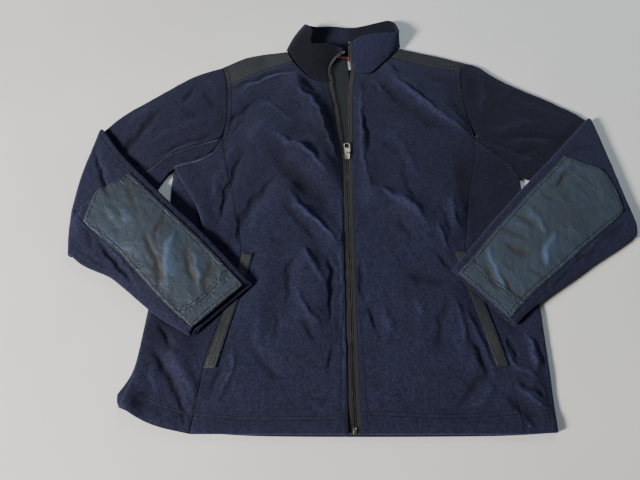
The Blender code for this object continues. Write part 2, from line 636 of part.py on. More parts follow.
# ---------------------------------------------------------------- sleeves
class SleeveShape:
    """Plan and heights of one folded sleeve, by row along it and column across it."""

    def __init__(self, sleeve):
        self.sleeve = sleeve
        armhole = points(sleeve.armhole)
        armhole[0] += (armhole[0] - armhole[1]).normalized() * UNDERARM_CLEAR
        low = [armhole[0]] + points(sleeve.low)[1:]
        self.upper = self.stretch(armhole, points(sleeve.fold), low, points(sleeve.top), UPPER_ROWS, None,
                                  sleeve.columns, 10)
        for row, dip in zip(self.upper, UNDER_SEAM_DIP):
            for k, share in ((SEAM_COLUMN - 1, 0.5), (SEAM_COLUMN, 1.0), (SEAM_COLUMN + 1, 0.5)):
                row[k].y += dip * share
        self.upper[0] = inset(self.upper, GAP)[0]
        self.fore_edge = (points(sleeve.fore_low), points(sleeve.fore_top))
        cuff = [self.fore_edge[0][-1], self.fore_edge[1][-1]]
        self.fore = self.stretch(points(sleeve.fold), cuff, self.fore_edge[0], self.fore_edge[1], FORE_ROWS,
                                 sleeve.columns, COLUMNS_CUFF, 2)
        self.folds, self.fore_folds = prepared(sleeve.folds), prepared(sleeve.fore_folds)
        self.covered = fore_loop(sleeve)

    @staticmethod
    def stretch(start, end, low, high, rows, start_columns, end_columns, start_fade):
        """Rows of plan points between two cross lines and two long edges."""
        first = start if start_columns is None else [at_share(start, s) for s in start_columns]
        start_columns = start_columns or shares(start)
        last = [at_share(end, s) for s in end_columns]
        lows, highs = walk(low, rows), walk(high, rows)
        grid = []
        for r in range(rows + 1):
            u = r / rows
            row = []
            for k in range(len(first)):
                straight = mix(lows[r], highs[r], mix(start_columns[k], end_columns[k], u))
                start_bend = first[k] - mix(first[0], first[-1], start_columns[k])
                end_bend = last[k] - mix(last[0], last[-1], end_columns[k])
                row.append(straight + start_bend * (1 - u) ** start_fade + end_bend * u ** 2)
            grid.append(row)
        return grid

    def lift(self, p):
        start, end, height = self.sleeve.lift
        return height * smooth((start - abs(p.x)) / (start - end))

    def puff(self, p, column, row, part):
        """How far a wall swells at one point: the upper arm's front, or the forearm's back."""
        across = smooth(min(column, 8 - column) / 2.5)
        if part == "upper":
            if row == 0:
                return 0.0
            away = abs(nearest(p, self.covered + self.covered[:1]))
            free = 0.0 if inside(p, self.covered) else smooth(away / 24)
            along = smooth(row / 2) * smooth((UPPER_ROWS - row) / 2)
            return along * across * free * max(2.2 + rise_of(p, self.folds), 0.0)
        if row < PATCH_ROW:  # the cloth runs straight from the fold to here
            return self.puff(self.fore[PATCH_ROW][column], column, PATCH_ROW, part) * row / PATCH_ROW
        along = mix(1.0, 0.25, smooth((row - FORE_ROWS + 3) / 3))
        return along * across * max(3.6 + rise_of(p, self.fore_folds), 0.0)


def sleeve_sections(shape):
    """For each row: (plan row, front heights, back heights, placing function)."""
    side = shape.sleeve.side
    sections = []
    for r, row in enumerate(shape.upper):
        front = [SLEEVE_TOP + shape.puff(p, k, r, "upper") for k, p in enumerate(row)]
        sections.append((row, front, [0.0] * len(row), lambda p: p))
    for step in range(1, TURN_ROWS):
        angle = math.pi * step / TURN_ROWS

        def turn(p, angle=angle):
            reach = TURN_Z - p.z
            return Vector((p.x + side * reach * math.sin(angle), p.y, TURN_Z - reach * math.cos(angle)))
        row = shape.upper[-1]
        sections.append((row, [SLEEVE_TOP] * len(row), [0.0] * len(row), turn))
    for r, row in enumerate(shape.fore):
        back = [-shape.puff(p, k, r, "fore") for k, p in enumerate(row)]

        def laid(p):
            return Vector((p.x, p.y, 2 * TURN_Z - p.z + shape.lift(p)))
        sections.append((row, [SLEEVE_TOP] * len(row), back, laid))
    return sections


def sleeve_piece(name, shape, columns_front, columns_back):
    """A stretch of the sleeve's tube, over the edge that both column lists meet at."""
    outer, inner = [], []
    sections = sleeve_sections(shape)
    for r, (row, front, back, place) in enumerate(sections):
        def seam_side(k, towards):
            way = (row[towards] - row[k]).normalized()
            return row[k] + way * (GAP / 2)
        k0, k1 = columns_front[0], columns_front[1]
        face = [Vector((*seam_side(k0, k1), front[k0]))]
        face += [Vector((*row[k], front[k])) for k in columns_front[1:]]
        rear = [Vector((*row[k], back[k])) for k in columns_back[:-1]]
        rear.append(Vector((*seam_side(columns_back[-1], columns_back[-2]), back[columns_back[-1]])))
        edge_rear = Vector((face[-1].x, face[-1].y, 0.0))
        ring = turned(face, [edge_rear] + rear, FLEECE)
        outer_ring = ring[0][:len(face) + 4] + ring[0][len(face) + 5:]
        inner_ring = ring[1][:len(face) + 4] + ring[1][len(face) + 5:]
        if r == len(sections) - 1:
            slip = (row[4] - sections[r - 1][0][4]).normalized() * shape.sleeve.slip
            for q in outer_ring + inner_ring:
                share = smooth((q.z - 1.0) / 4.0)
                q.x += slip.x * share
                q.y += slip.y * share
        outer.append([place(q) for q in outer_ring])
        inner.append([place(q) for q in inner_ring])
    plate(name, outer, inner, "fleece", flipped=(0, len(columns_front) - 2))


def patch(name, shape):
    """The nylon patch on the back of the forearm, lifted off the sleeve's own surface."""
    columns = range(STRIP_COLUMN, SEAM_COLUMN - 1, -1)
    outer, inner = [], []
    for a in range(FORE_ROWS - PATCH_ROW + 3):
        top_row, low_row = [], []
        for start, k in zip(shape.sleeve.patch_start[::-1], columns):
            along = mix(start, PATCH_ROW, a / 2) if a < 2 else PATCH_ROW + a - 2
            r = min(int(along), FORE_ROWS - 1)
            near, far = shape.fore[r][k], shape.fore[r + 1][k]
            heights = [2 * TURN_Z + shape.puff(q, k, s, "fore") + shape.lift(q)
                       for q, s in ((near, r), (far, r + 1))]
            p = mix(near, far, along - r)
            z = mix(heights[0], heights[1], along - r) + NYLON_LIFT
            low_row.append(Vector((p.x, p.y, z)))
            top_row.append(Vector((p.x, p.y, z + NYLON)))
        outer.append(top_row)
        inner.append(low_row)
    plate(name, outer, inner, "nylon")


# ---------------------------------------------------------------- collar
def collar_centre():
    """Rows of points midway in the collar's wall, from its seam to its top."""
    count = len(COLLAR)
    grid = []
    for i, neck in enumerate(COLLAR):
        seam, top, bow = Vector(neck.seam), Vector(neck.top), Vector(neck.bow)
        inward = (top - seam).normalized()
        start = seam + inward * neck.tuck
        row = []
        for j in range(COLLAR_COLUMNS + 1):
            t = j / COLLAR_COLUMNS
            p = mix(start, top, t) + bow * (4 * t * (1 - t))
            row.append(Vector((p.x, p.y, mix(neck.seam_z, neck.top_z, t ** 1.25))))
        grid.append(row)
    ends = {0: 1, count - 1: count - 2}
    for i, other in ends.items():  # front edges, half a seam gap in
        way = (grid[other][0] - grid[i][0])
        way.z = 0
        for p in grid[i]:
            p += way.normalized() * (GAP / 2)
    return grid


def normals_of(grid):
    rows, cols = len(grid), len(grid[0])
    out = []
    for r in range(rows):
        line = []
        for c in range(cols):
            along = grid[min(r + 1, rows - 1)][c] - grid[max(r - 1, 0)][c]
            up = grid[r][min(c + 1, cols - 1)] - grid[r][max(c - 1, 0)]
            line.append(up.cross(along).normalized())
        out.append(line)
    return [[(out[max(r - 1, 0)][c] + out[r][c] * 2 + out[min(r + 1, rows - 1)][c]).normalized()
             for c in range(cols)] for r in range(rows)]


def collar():
    centre = collar_centre()
    normals = normals_of(centre)
    if normals[0][0].z < 0:
        normals = [[-n for n in row] for row in normals]

    def layer(off):
        return [[p + n * off for p, n in zip(row, line)] for row, line in zip(centre, normals)]
    near, far = COLLAR_GAP / 2, COLLAR_GAP / 2 + COLLAR_WALL
    plate("collar_outer", layer(far), layer(near), "fleece")
    plate("collar_inner", layer(-near), layer(-far), "fleece")
    return centre


# ---------------------------------------------------------------- zip
def zip_line(edge, collar_row):
    """The fleece edge beside the zip, from the hem to the top of the collar."""
    low = [Vector((x, y, ZIP_Z)) for x, y in edge]
    bottom, closed = low[0], low[1]
    line = [mix(bottom, closed, i / 6) for i in range(6)] + low[1:3]
    for a, b in zip(low[2:], low[3:]):
        line += [mix(a, b, t) for t in (0.34, 0.67, 1.0)]
    line[-1] = Vector((line[-1].x, line[-1].y, mix(ZIP_Z, collar_row[0].z, 0.6)))
    line += [Vector(p) for p in collar_row[1:]]
    return line


def strip(name, line, near, far, half, towards, finish_name):
    """A flat band beside a line, from near to far on the side that towards points to."""
    outer, inner = [], []
    for i, p in enumerate(line):
        a, b = line[max(i - 1, 0)], line[min(i + 1, len(line) - 1)]
        way = Vector(((b - a).x, (b - a).y)).normalized()
        off = Vector((way.y, -way.x)) * towards
        spots = [Vector((p.x + off.x * d, p.y + off.y * d, p.z)) for d in (near, far)]
        outer.append([q + Vector((0, 0, half)) for q in spots])
        inner.append([q - Vector((0, 0, half)) for q in spots])
    plate(name, outer, inner, finish_name)
    return outer[-1]


def zip_parts(centre):
    for side, edge, row, sign in (("right", ZIP_EDGE_RIGHT, centre[0], 1.0),
                                  ("left", ZIP_EDGE_LEFT, centre[-1], -1.0)):
        line = zip_line(edge, row)
        tape = list(line)
        tape[-1] = mix(line[-2], line[-1], 0.9)
        strip(f"zip_tape_{side}", tape, *TAPE, TAPE_HALF, sign, "tape")
        teeth = list(line)
        teeth[0] = line[0] + Vector((0, 8.4, 0))
        teeth[-1] = mix(line[-2], line[-1], 0.7)
        strip(f"zip_teeth_{side}", teeth, *TEETH, TEETH_HALF, sign, "teeth")
        ends = [mix(line[-2], line[-1], t) for t in (0.73, 0.88)]
        strip(f"zip_stop_{side}", ends, TEETH[0], TEETH[1] + 0.3, TEETH_HALF + 0.3, sign, "metal")
    prism("zip_box", rounded(2.7, HEM_Y + 0.2, HEM_Y + 8.1, 0.6), ZIP_Z - 1.3, ZIP_Z + 1.9, "metal")
    flap()


def flap():
    """The strip of smooth cloth behind the zip, sewn to the right tape."""
    levels = (-355, -290, -180, -70, 20, 60, 92, 130, 167, 200, 229, 255, 280, 298)
    edge = points(ZIP_EDGE_RIGHT)
    outer, inner = [], []
    for y in levels:
        left = at_height(edge, min(y, 229.0)).x - 6.0
        right = mix(13.0, 6.0, smooth((y - 200) / 100))
        row = [Vector((x, y)) for x in (left, mix(left, right, 0.5), right)]
        inner.append([Vector((p.x, p.y, FLAP_Z)) for p in row])
        outer.append([Vector((p.x, p.y, FLAP_Z + FLAP_WALL)) for p in row])
    plate("wind_flap", outer, inner, "flap")


def slider():
    """Two plates joined by a post between the teeth, with an arch for the pull."""
    low, high = SLIDER_Y
    shield = ((-4.2, low), (4.2, low), (5.5, low + 6), (5.5, high - 3), (3.2, high), (-3.2, high),
              (-5.5, high - 3), (-5.5, low + 6))
    face = ZIP_Z + TEETH_HALF + GAP
    top = face + PLATE
    body = prism("zip_slider", shield, face, top, "metal")
    under = ZIP_Z - TEETH_HALF - GAP
    lower = prism("slider_lower", shield, under - 0.7, under, "metal")
    wedge = ((-0.8, high - 1.6), (0.8, high - 1.6), (1.3, high - 0.2), (-1.3, high - 0.2))
    post = prism("slider_post", wedge, under - 0.5, top - 0.6, "metal")
    first, last = PIVOT_Y - 4.7, PIVOT_Y + 4.7
    outline = ((first, top - 0.4), (last, top - 0.4), (last, top + 2.2), (last - 1.5, top + 3.4),
               (first + 1.5, top + 3.4), (first, top + 2.2))
    arch = prism("slider_arch", outline, -ARCH_HALF, ARCH_HALF, "metal", axis="X")
    first, last = PIVOT_Y - 2.8, PIVOT_Y + 2.8
    outline = ((first, top + 0.01), (last, top + 0.01), (last, top + 1.8), (last - 0.8, top + 2.3),
               (first + 0.8, top + 2.3), (first, top + 1.8))
    window = prism("window", outline, -3, 3, "metal", axis="X")
    combine(arch, window, "DIFFERENCE")
    for other in (post, lower, arch):
        combine(body, other, "UNION")
    return top


def pull(top):
    """The ring pull on its pin, lying towards the collar."""
    pivot = Vector((0.0, PIVOT_Y, top + PIVOT_RISE))
    y, z = pivot.y, pivot.z
    sides = 8
    angles = [2 * math.pi * (i + 0.5) / sides for i in range(sides)]
    pin = [(y + PIN_RADIUS * math.cos(a), z + PIN_RADIUS * math.sin(a)) for a in angles]
    body = prism("zip_pull", pin, -PIN_HALF, PIN_HALF, "metal", pivot, "X")
    side_view = ((y - 0.3, z - PULL_HALF), (y + 7.5, z - PULL_HALF), (y + 7.5, z + PULL_HALF),
                 (y - 0.3, z + PULL_HALF))
    for low, high in ((-PIN_HALF, -ARM_INNER), (ARM_INNER, PIN_HALF)):
        combine(body, prism("arm", side_view, low, high, "metal", pivot, "X"), "UNION")
    half = PULL_HALF - 0.05
    ring = prism("ring", rounded(6.0, y + 6.0, y + 27.5, 2.4), z - half, z + half, "metal", pivot)
    hole = prism("hole", rounded(3.6, y + 16.5, y + 25.0, 1.4), z - 3, z + 3, "metal", pivot)
    combine(ring, hole, "DIFFERENCE")
    combine(body, ring, "UNION")


def main():
    for thing in list(bpy.data.objects):
        bpy.data.objects.remove(thing)
    front = Front()
    right_centre = front_centre("front_right_centre", -1, POCKET_SEAM_RIGHT, ARMHOLE_RIGHT, YOKE_SEAM_RIGHT,
                                ZIP_EDGE_RIGHT, range(COLLAR_RIGHT_YOKE, -1, -1), front)
    left_centre = front_centre("front_left_centre", 1, POCKET_SEAM_LEFT, ARMHOLE_LEFT, YOKE_SEAM_LEFT,
                               ZIP_EDGE_LEFT, range(COLLAR_LEFT_YOKE, len(COLLAR)), front)
    welt("pocket_welt_right", right_centre)
    welt("pocket_welt_left", left_centre)
    front_side("front_right_side", POCKET_SEAM_RIGHT, ARMHOLE_RIGHT, SIDE_RIGHT, HEM_RIGHT, front,
               seat_of)
    side_plan = front_side("front_left_side", POCKET_SEAM_LEFT, ARMHOLE_LEFT, SIDE_LEFT, HEM_LEFT, front,
                           lambda row: 0.0)
    back_panel(side_plan)
    yoke("yoke_right", ARMHOLE_RIGHT, YOKE_SEAM_RIGHT, SHOULDER_RIGHT, BACK_YOKE_RIGHT)
    yoke("yoke_left", ARMHOLE_LEFT, YOKE_SEAM_LEFT, SHOULDER_LEFT, BACK_YOKE_LEFT)
    for side, sleeve in (("right", SLEEVE_RIGHT), ("left", SLEEVE_LEFT)):
        shape = SleeveShape(sleeve)
        columns = list(range(9))
        sleeve_piece(f"sleeve_{side}", shape, columns[SEAM_COLUMN:], columns[SEAM_COLUMN:8][::-1])
        sleeve_piece(f"sleeve_under_{side}", shape, columns[SEAM_COLUMN::-1], columns[1:SEAM_COLUMN + 1])
        patch(f"elbow_patch_{side}", shape)
    zip_parts(collar())
    pull(slider())
    prism("label", ((-24, 268), (24, 268), (24, 303), (-24, 303)), FLEECE + 0.15, FLEECE + 0.4, "label")


main()
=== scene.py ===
"""Fleece zip jacket laid flat: cloth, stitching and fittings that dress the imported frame."""
import logging
import math
from dataclasses import dataclass, field
from enum import Enum
from typing import Callable, Sequence

import bmesh
import bpy
import numpy as np
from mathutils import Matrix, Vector
from mathutils.bvhtree import BVHTree


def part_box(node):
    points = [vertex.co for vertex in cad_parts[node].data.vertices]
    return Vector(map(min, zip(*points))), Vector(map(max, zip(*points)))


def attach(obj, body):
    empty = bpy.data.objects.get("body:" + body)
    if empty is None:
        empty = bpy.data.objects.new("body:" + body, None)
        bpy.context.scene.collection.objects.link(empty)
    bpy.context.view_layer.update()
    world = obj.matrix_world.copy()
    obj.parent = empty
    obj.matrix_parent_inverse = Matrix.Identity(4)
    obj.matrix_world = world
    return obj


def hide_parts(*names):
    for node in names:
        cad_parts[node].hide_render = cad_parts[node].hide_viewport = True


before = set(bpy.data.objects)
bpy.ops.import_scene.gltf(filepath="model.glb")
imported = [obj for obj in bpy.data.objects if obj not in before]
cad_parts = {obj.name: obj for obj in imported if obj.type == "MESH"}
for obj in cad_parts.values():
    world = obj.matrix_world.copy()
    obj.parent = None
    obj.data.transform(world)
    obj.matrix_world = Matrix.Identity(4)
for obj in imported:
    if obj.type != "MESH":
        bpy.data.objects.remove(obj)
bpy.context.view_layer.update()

log = logging.getLogger("jacket")
MM = 0.001
SEAM_REACH = 12.0  # mm, how far from a seam its relief goes
ROW_REACH = 6.0  # mm, the same for a row of stitches
ROW_NAMES = ("row_0", "row_1")  # the distances from the outer rows and from the inner ones
RIM_ANGLE = math.radians(62.0)  # between faces, from which an edge is a panel's rim
RIM_CREASE = 0.5  # how firmly a rim keeps its edge, from 0 to 1
CORNER_ANGLE = math.radians(154.0)  # between a rim's edges, below which it keeps a corner
OUTER = (-0.2, 0.4)  # the normals' Z between which cloth turns from its inner to its outer side
OUTLINE_ANGLE = math.radians(50.0)  # between faces, from which an edge may be a panel's outline
UPWARD = 0.45  # the normal's Z from which a face is a panel's upper side
FINE = 3.0  # mm, the pitch of a path that is moved sideways
SEAM_PITCH = 4.0  # mm, the same of a seam
PUCKER_AT = 4.0  # mm beside a seam, where it puckers most
PUCKER_WIDE = 7.0
FAR = 1e9
EVEN = (1.0, 1.0, 1.0)  # not stretched

Array = np.ndarray
Material = bpy.types.Material
Mesh = bpy.types.Mesh
Piece = bpy.types.Object
Socket = bpy.types.NodeSocket
Triple = tuple[float, float, float]
Lift = Callable[[Array, Array], tuple[Array, Array]]  # vertices in mm and normals give rises in mm and painted light and shade


class Side(Enum):
    """The wearer's sides; right lies towards negative X."""

    RIGHT = "right"
    LEFT = "left"

    @property
    def sign(self) -> float:
        """-1 on the right and +1 on the left."""
        return -1.0 if self is Side.RIGHT else 1.0


# ---------------------------------------------------------------- material building
class Nodes:
    """A node tree, written as a chain of calls."""

    def __init__(self, tree: bpy.types.NodeTree) -> None:
        """Keeps the tree."""
        self.tree = tree

    def node(self, kind: str, settings: dict[str, str] | None = None, **inputs: object) -> bpy.types.Node:
        """Adds a node.

        Args:
            kind: the node's type; a shader node's goes without its ShaderNode prefix.
            settings: attributes of the node itself.
            inputs: values or sockets by input name, with underscores for blanks.

        Returns:
            The node.
        """
        made = self.tree.nodes.new(kind if "Node" in kind else "ShaderNode" + kind)
        for key, value in (settings or {}).items():
            setattr(made, key, value)
        for key, value in inputs.items():
            self.feed(made, key.replace("_", " "), value)
        return made

    def feed(self, node: bpy.types.Node, socket: str | int, value: object) -> None:
        """Sets a node's input, by name or index, to a value or from another node's output."""
        target = node.inputs[socket]
        if isinstance(value, Socket):
            self.tree.links.new(value, target)
        else:
            target.default_value = (*value, 1.0) if target.type == "RGBA" else value

    def math(self, operation: str, *values: object, kind: str = "Math") -> Socket:
        """A Math node's result.

        Args:
            operation: the operation's name.
            values: its inputs, in order.
            kind: the node's type, Math or VectorMath.

        Returns:
            The output socket.
        """
        made = self.node(kind, {"operation": operation})
        for index, value in enumerate(values):
            self.feed(made, index, value)
        return made.outputs[0]

    def mul(self, a: object, b: object) -> Socket:
        """One value times another."""
        return self.math("MULTIPLY", a, b)

    def add(self, a: object, b: object) -> Socket:
        """One value and another."""
        return self.math("ADD", a, b)


class Graph(Nodes):
    """One material with its node tree."""

    def __init__(self, name: str) -> None:
        """Makes the material with its shader and output.

        Args:
            name: the material's name.
        """
        self.material = bpy.data.materials.new(name)
        self.material.use_nodes = True
        super().__init__(self.material.node_tree)
        self.tree.nodes.clear()
        self.shader = self.node("BsdfPrincipled")
        self.node("OutputMaterial", Surface=self.shader.outputs[0])
        self.place = self.node("TexCoord").outputs["Object"]

    def noise(self, size: float, detail: float = 2.0, roughness: float = 0.5, warp: float = 0.0,
              stretch: Triple = EVEN, turn: float = 0.0) -> Socket:
        """Noise of a given grain.

        Args:
            size: the size of its features in metres.
            detail: how many finer layers it has.
            roughness: how strong the finer layers are.
            warp: how far the pattern is pulled about.
            stretch: how many times longer the features are along each axis.
            turn: the axes' turn about Z, in radians.

        Returns:
            The socket with values round 0.5.
        """
        place = self.place
        if stretch != EVEN:
            place = self.node("Mapping", {"vector_type": "TEXTURE"}, Vector=place, Rotation=(0.0, 0.0, turn),
                              Scale=stretch).outputs[0]
        return self.node("TexNoise", Vector=place, Scale=1.0 / size, Detail=detail, Roughness=roughness,
                         Distortion=warp).outputs[0]

    def waves(self, axis: str, spacing: float, place: Socket | None = None) -> Socket:
        """Even waves of thread along X or Y, from 0 to 1, on the object's or on other coordinates."""
        return self.node("TexWave", {"bands_direction": axis}, Vector=place or self.place,
                         Scale=0.5 / spacing).outputs["Fac"]

    def ramp(self, value: Socket, *stops: tuple[float, float | Triple], smooth: str = "EASE") -> Socket:
        """A colour or value read off a ramp.

        Args:
            value: the socket that moves along the ramp.
            stops: positions with a grey level or a colour each.
            smooth: the interpolation between them.

        Returns:
            The colour socket.
        """
        made = self.node("ValToRGB", Fac=value)
        band = made.color_ramp
        band.interpolation = smooth
        while len(band.elements) < len(stops):
            band.elements.new(0.5)
        for element, (position, shade) in zip(band.elements, stops):
            element.position = position
            element.color = (*(shade if isinstance(shade, tuple) else (shade,) * 3), 1.0)
        return made.outputs[0]

    def blend(self, share: Socket, low: object, high: object) -> Socket:
        """Two colours mixed.

        Args:
            share: how much of the second.
            low: the first colour or socket.
            high: the second colour or socket.

        Returns:
            The colour socket.
        """
        made = self.node("Mix", {"data_type": "RGBA"})
        for index, value in ((0, share), (6, low), (7, high)):
            self.feed(made, index, value)
        return made.outputs[2]

    def spread(self, value: Socket, low: float, high: float) -> Socket:
        """Noise spread out between two values."""
        made = self.node("MapRange", Value=value, From_Min=0.3, From_Max=0.7, To_Min=low, To_Max=high)
        return made.outputs[0]

    def attribute(self, name: str) -> Socket:
        """The value of one of the mesh's own attributes."""
        return self.node("Attribute", {"attribute_name": name}).outputs["Fac"]

    def bump(self, height: Socket, depth: float, under: Socket | None = None) -> Socket:
        """The normal of a relief from 0 to 1, so many metres deep, over another normal."""
        below = {"Normal": under} if under else {}
        return self.node("Bump", Strength=1.0, Distance=depth, Height=height, **below).outputs[0]

    def seams(self) -> Socket:
        """The relief of a sewn seam: its groove, the band beside it, two rows of dents and puckers.

        Returns:
            The height socket, from 0 to 1.
        """
        share = self.math("DIVIDE", self.attribute("seam_d"), SEAM_REACH)
        bare = self.ramp(share, (0.0, 0.0), (1.2 / SEAM_REACH, 0.42))
        band = self.ramp(share, *((mm / SEAM_REACH, level) for mm, level in (
            (0.0, 0.0), (1.2, 0.72), (2.3, 0.48), (3.4, 0.86), (6.2, 0.86), (7.2, 0.5), (8.4, 0.42))))
        profile = self.blend(self.attribute("seam_band"), bare, band)
        ripple = self.math("SINE", self.mul(self.attribute("seam_u"), 0.9))
        pucker = self.mul(self.mul(ripple, self.mul(self.noise(0.012, 1.0), 2.0)), self.attribute("pucker"))
        return self.add(self.add(profile, self.mul(self.dents(0.0, 0.84), 0.5)), self.mul(pucker, 0.08))

    def dents(self, deep: float, level: float) -> Socket:
        """The dents of the stitch rows, with the cloth standing up to 1 beside them.

        Args:
            deep: the value in the dents.
            level: the value away from them.

        Returns:
            The value socket.
        """
        both = []
        for name in ROW_NAMES:
            off = self.math("DIVIDE", self.math("ABSOLUTE", self.attribute(name)), ROW_REACH)
            both.append(self.ramp(off, (0.0, deep), (0.1, 0.3 * deep + 0.35), (0.22, 0.95), (0.36, 1.0),
                                  (0.85, level)))
        return self.math("MINIMUM", *both)

    def beside_rows(self) -> Socket:
        """How near a row of stitches is: 1 on the row, 0 where its relief ends."""
        off = self.math("MINIMUM", *(self.math("ABSOLUTE", self.attribute(name)) for name in ROW_NAMES))
        return self.ramp(self.math("DIVIDE", off, ROW_REACH), (0.0, 1.0), (0.95, 0.0))

    def sewn(self, colour: Socket) -> Socket:
        """A colour with painted shade in the dents of stitch rows and seams, and a painted highlight on the
        cloth between.
        """
        seam = self.ramp(self.math("DIVIDE", self.attribute("seam_d"), SEAM_REACH), (0.0, 0.3), (0.16, 1.0))
        return self.math("MULTIPLY", colour, self.mul(self.mul(self.dents(0.3, 0.86), 1.16), seam),
                         kind="VectorMath")

    def set(self, **uniform: object) -> None:
        """Sets the shader's own sockets, by name with underscores for blanks."""
        for key, value in uniform.items():
            self.feed(self.shader, key.replace("_", " "), value)


@dataclass(frozen=True)
class Fleece:
    """Napped knit: matte, with clumps of pile a few millimetres across, a soft sheen and specks of lint."""

    name: str = "navy_fleece"
    deep: Triple = (0.0050, 0.0051, 0.0138)
    # the pile's lighter mottle tone
    nap: Triple = (0.0156, 0.0160, 0.0410)
    lint: Triple = (0.22, 0.20, 0.20)
    sheen: float = 0.22
    sheen_tint: Triple = (0.36, 0.42, 0.72)
    # how strongly the painted light and shade change the colour
    painted_light_gain: float = 2.3
    brushed: float = 0.034
    lint_cells: float = 46.0  # in a metre
    lint_size: float = 0.022  # of a cell
    lint_bare: float = 0.72  # the share of cells without a speck
    clump: float = 0.0036
    pile: float = 0.0009
    clump_depth: float = 0.0005
    pile_depth: float = 0.00012
    seam_depth: float = 0.0011

    def material(self) -> Material:
        """Builds the material.

        Returns:
            The material.
        """
        g = Graph(self.name)
        clumps = g.noise(self.clump, 3.0, 0.62, 0.6)
        pile = g.noise(self.pile, 2.0, 0.7)
        mottle = g.add(g.mul(clumps, 0.62), g.mul(pile, 0.38))
        shade = g.ramp(mottle, (0.40, self.deep), (0.60, self.nap), smooth="LINEAR")
        worn = g.add(0.74, g.mul(g.noise(self.brushed, 3.0, 0.6, 0.8), 0.46))
        # painted light and shade: the vertex attribute lightens the colour on crests and darkens it in
        # troughs and shaded places, over a random brushed tone
        tone_and_painted_light = g.mul(worn, g.math("POWER", self.painted_light_gain, g.attribute("nap")))
        cells = g.node("TexVoronoi", Vector=g.place, Scale=self.lint_cells)
        near = g.math("LESS_THAN", cells.outputs["Distance"], self.lint_size)
        chosen = g.node("SeparateColor", Color=cells.outputs["Color"]).outputs[0]
        speck = g.mul(near, g.math("GREATER_THAN", chosen, self.lint_bare))
        # painted shade in the stitch dents and seam grooves, painted highlight on the cloth beside them
        cloth = g.sewn(g.math("MULTIPLY", shade, tone_and_painted_light, kind="VectorMath"))
        g.set(Base_Color=g.blend(speck, cloth, self.lint), Roughness=0.94, Specular_IOR_Level=0.22,
              Sheen_Weight=self.sheen, Sheen_Roughness=0.42, Sheen_Tint=self.sheen_tint)
        ground = g.bump(g.seams(), self.seam_depth)
        g.set(Normal=g.bump(pile, self.pile_depth, g.bump(clumps, self.clump_depth, ground)))
        return g.material


@dataclass(frozen=True)
class Nylon:
    """Plain-woven nylon with a satin face and painted reflections: painted bluish highlights on folds facing
    the light, painted brownish shade where they turn away.
    """

    name: str = "patch_nylon"
    # the tones of the painted reflection: brownish painted shade, the cloth's own colour, bluish painted
    # highlight
    painted_shade_tone: Triple = (0.0240, 0.0235, 0.0235)
    face: Triple = (0.0275, 0.0365, 0.0500)
    painted_highlight: Triple = (0.0480, 0.0730, 0.1200)
    roughness: tuple[float, float] = (0.42, 0.58)
    crease: float = 0.05
    crease_depth: float = 0.0012
    turn: float = 0.75
    thread: float = 0.00042
    gathers: float = 0.0020
    sheen: float = 0.05
    seam_depth: float = 0.0009
    small: float = 0.013  # the small creases' size
    fine: float = 0.0032
    gather: float = 0.0052  # the same of the gathers beside the stitches

    def material(self) -> Material:
        """Builds the material.

        Returns:
            The material.
        """
        g = Graph(self.name)
        broad = g.noise(self.crease, 2.0, 0.5, 0.5, (1.0, 2.4, 1.0), self.turn)
        small = g.noise(self.small, 2.0, 0.5, 0.4, (1.0, 1.8, 1.0), self.turn)
        fine = g.noise(self.fine, 2.0, 0.55)
        # painted reflection: the painted light and shade attribute, with noise, moves the colour from the
        # brownish painted shade to the bluish painted highlight
        tone_and_painted_light = g.add(g.attribute("nap"), g.mul(g.math("SUBTRACT", broad, 0.5), 1.3))
        tone_and_painted_light = g.add(tone_and_painted_light, g.mul(g.math("SUBTRACT", fine, 0.5), 0.35))
        shade = g.ramp(g.mul(g.add(tone_and_painted_light, 1.0), 0.5), (0.12, self.painted_shade_tone), (0.5, self.face), (0.92, self.painted_highlight))
        # painted shade in the stitch dents and seam grooves here too
        g.set(Base_Color=g.sewn(shade), Roughness=g.spread(fine, *self.roughness), Specular_IOR_Level=0.34,
              Sheen_Weight=self.sheen, Sheen_Roughness=0.35)
        ground = g.bump(small, self.crease_depth, g.bump(g.seams(), self.seam_depth))
        uneven = g.math("SUBTRACT", g.noise(self.gather, 1.0, warp=0.6), 0.5)
        ground = g.bump(g.mul(uneven, g.beside_rows()), self.gathers, ground)
        turned = g.node("Mapping", Vector=g.place, Rotation=(0.0, 0.0, self.turn)).outputs[0]
        weave = g.mul(g.add(*(g.waves(axis, self.thread, turned) for axis in "XY")), 0.5)
        g.set(Normal=g.bump(weave, 0.00009, g.bump(fine, 0.00025, ground)))
        return g.material


@dataclass(frozen=True)
class Ribbed:
    """Woven tape: fine ribs across a dull dark ground."""

    name: str = "zip_tape"
    deep: Triple = (0.006, 0.006, 0.008)
    face: Triple = (0.018, 0.017, 0.019)
    rib: float = 0.0009

    def material(self) -> Material:
        """Builds the material.

        Returns:
            The material.
        """
        g = Graph(self.name)
        mixed = g.add(g.mul(g.waves("Y", self.rib), 0.5), g.mul(g.noise(0.0006, 2.0, 0.6), 0.5))
        g.set(Base_Color=g.ramp(mixed, (0.2, self.deep), (0.8, self.face)), Roughness=0.78,
              Specular_IOR_Level=0.35, Sheen_Weight=0.1, Normal=g.bump(mixed, 0.0003))
        return g.material


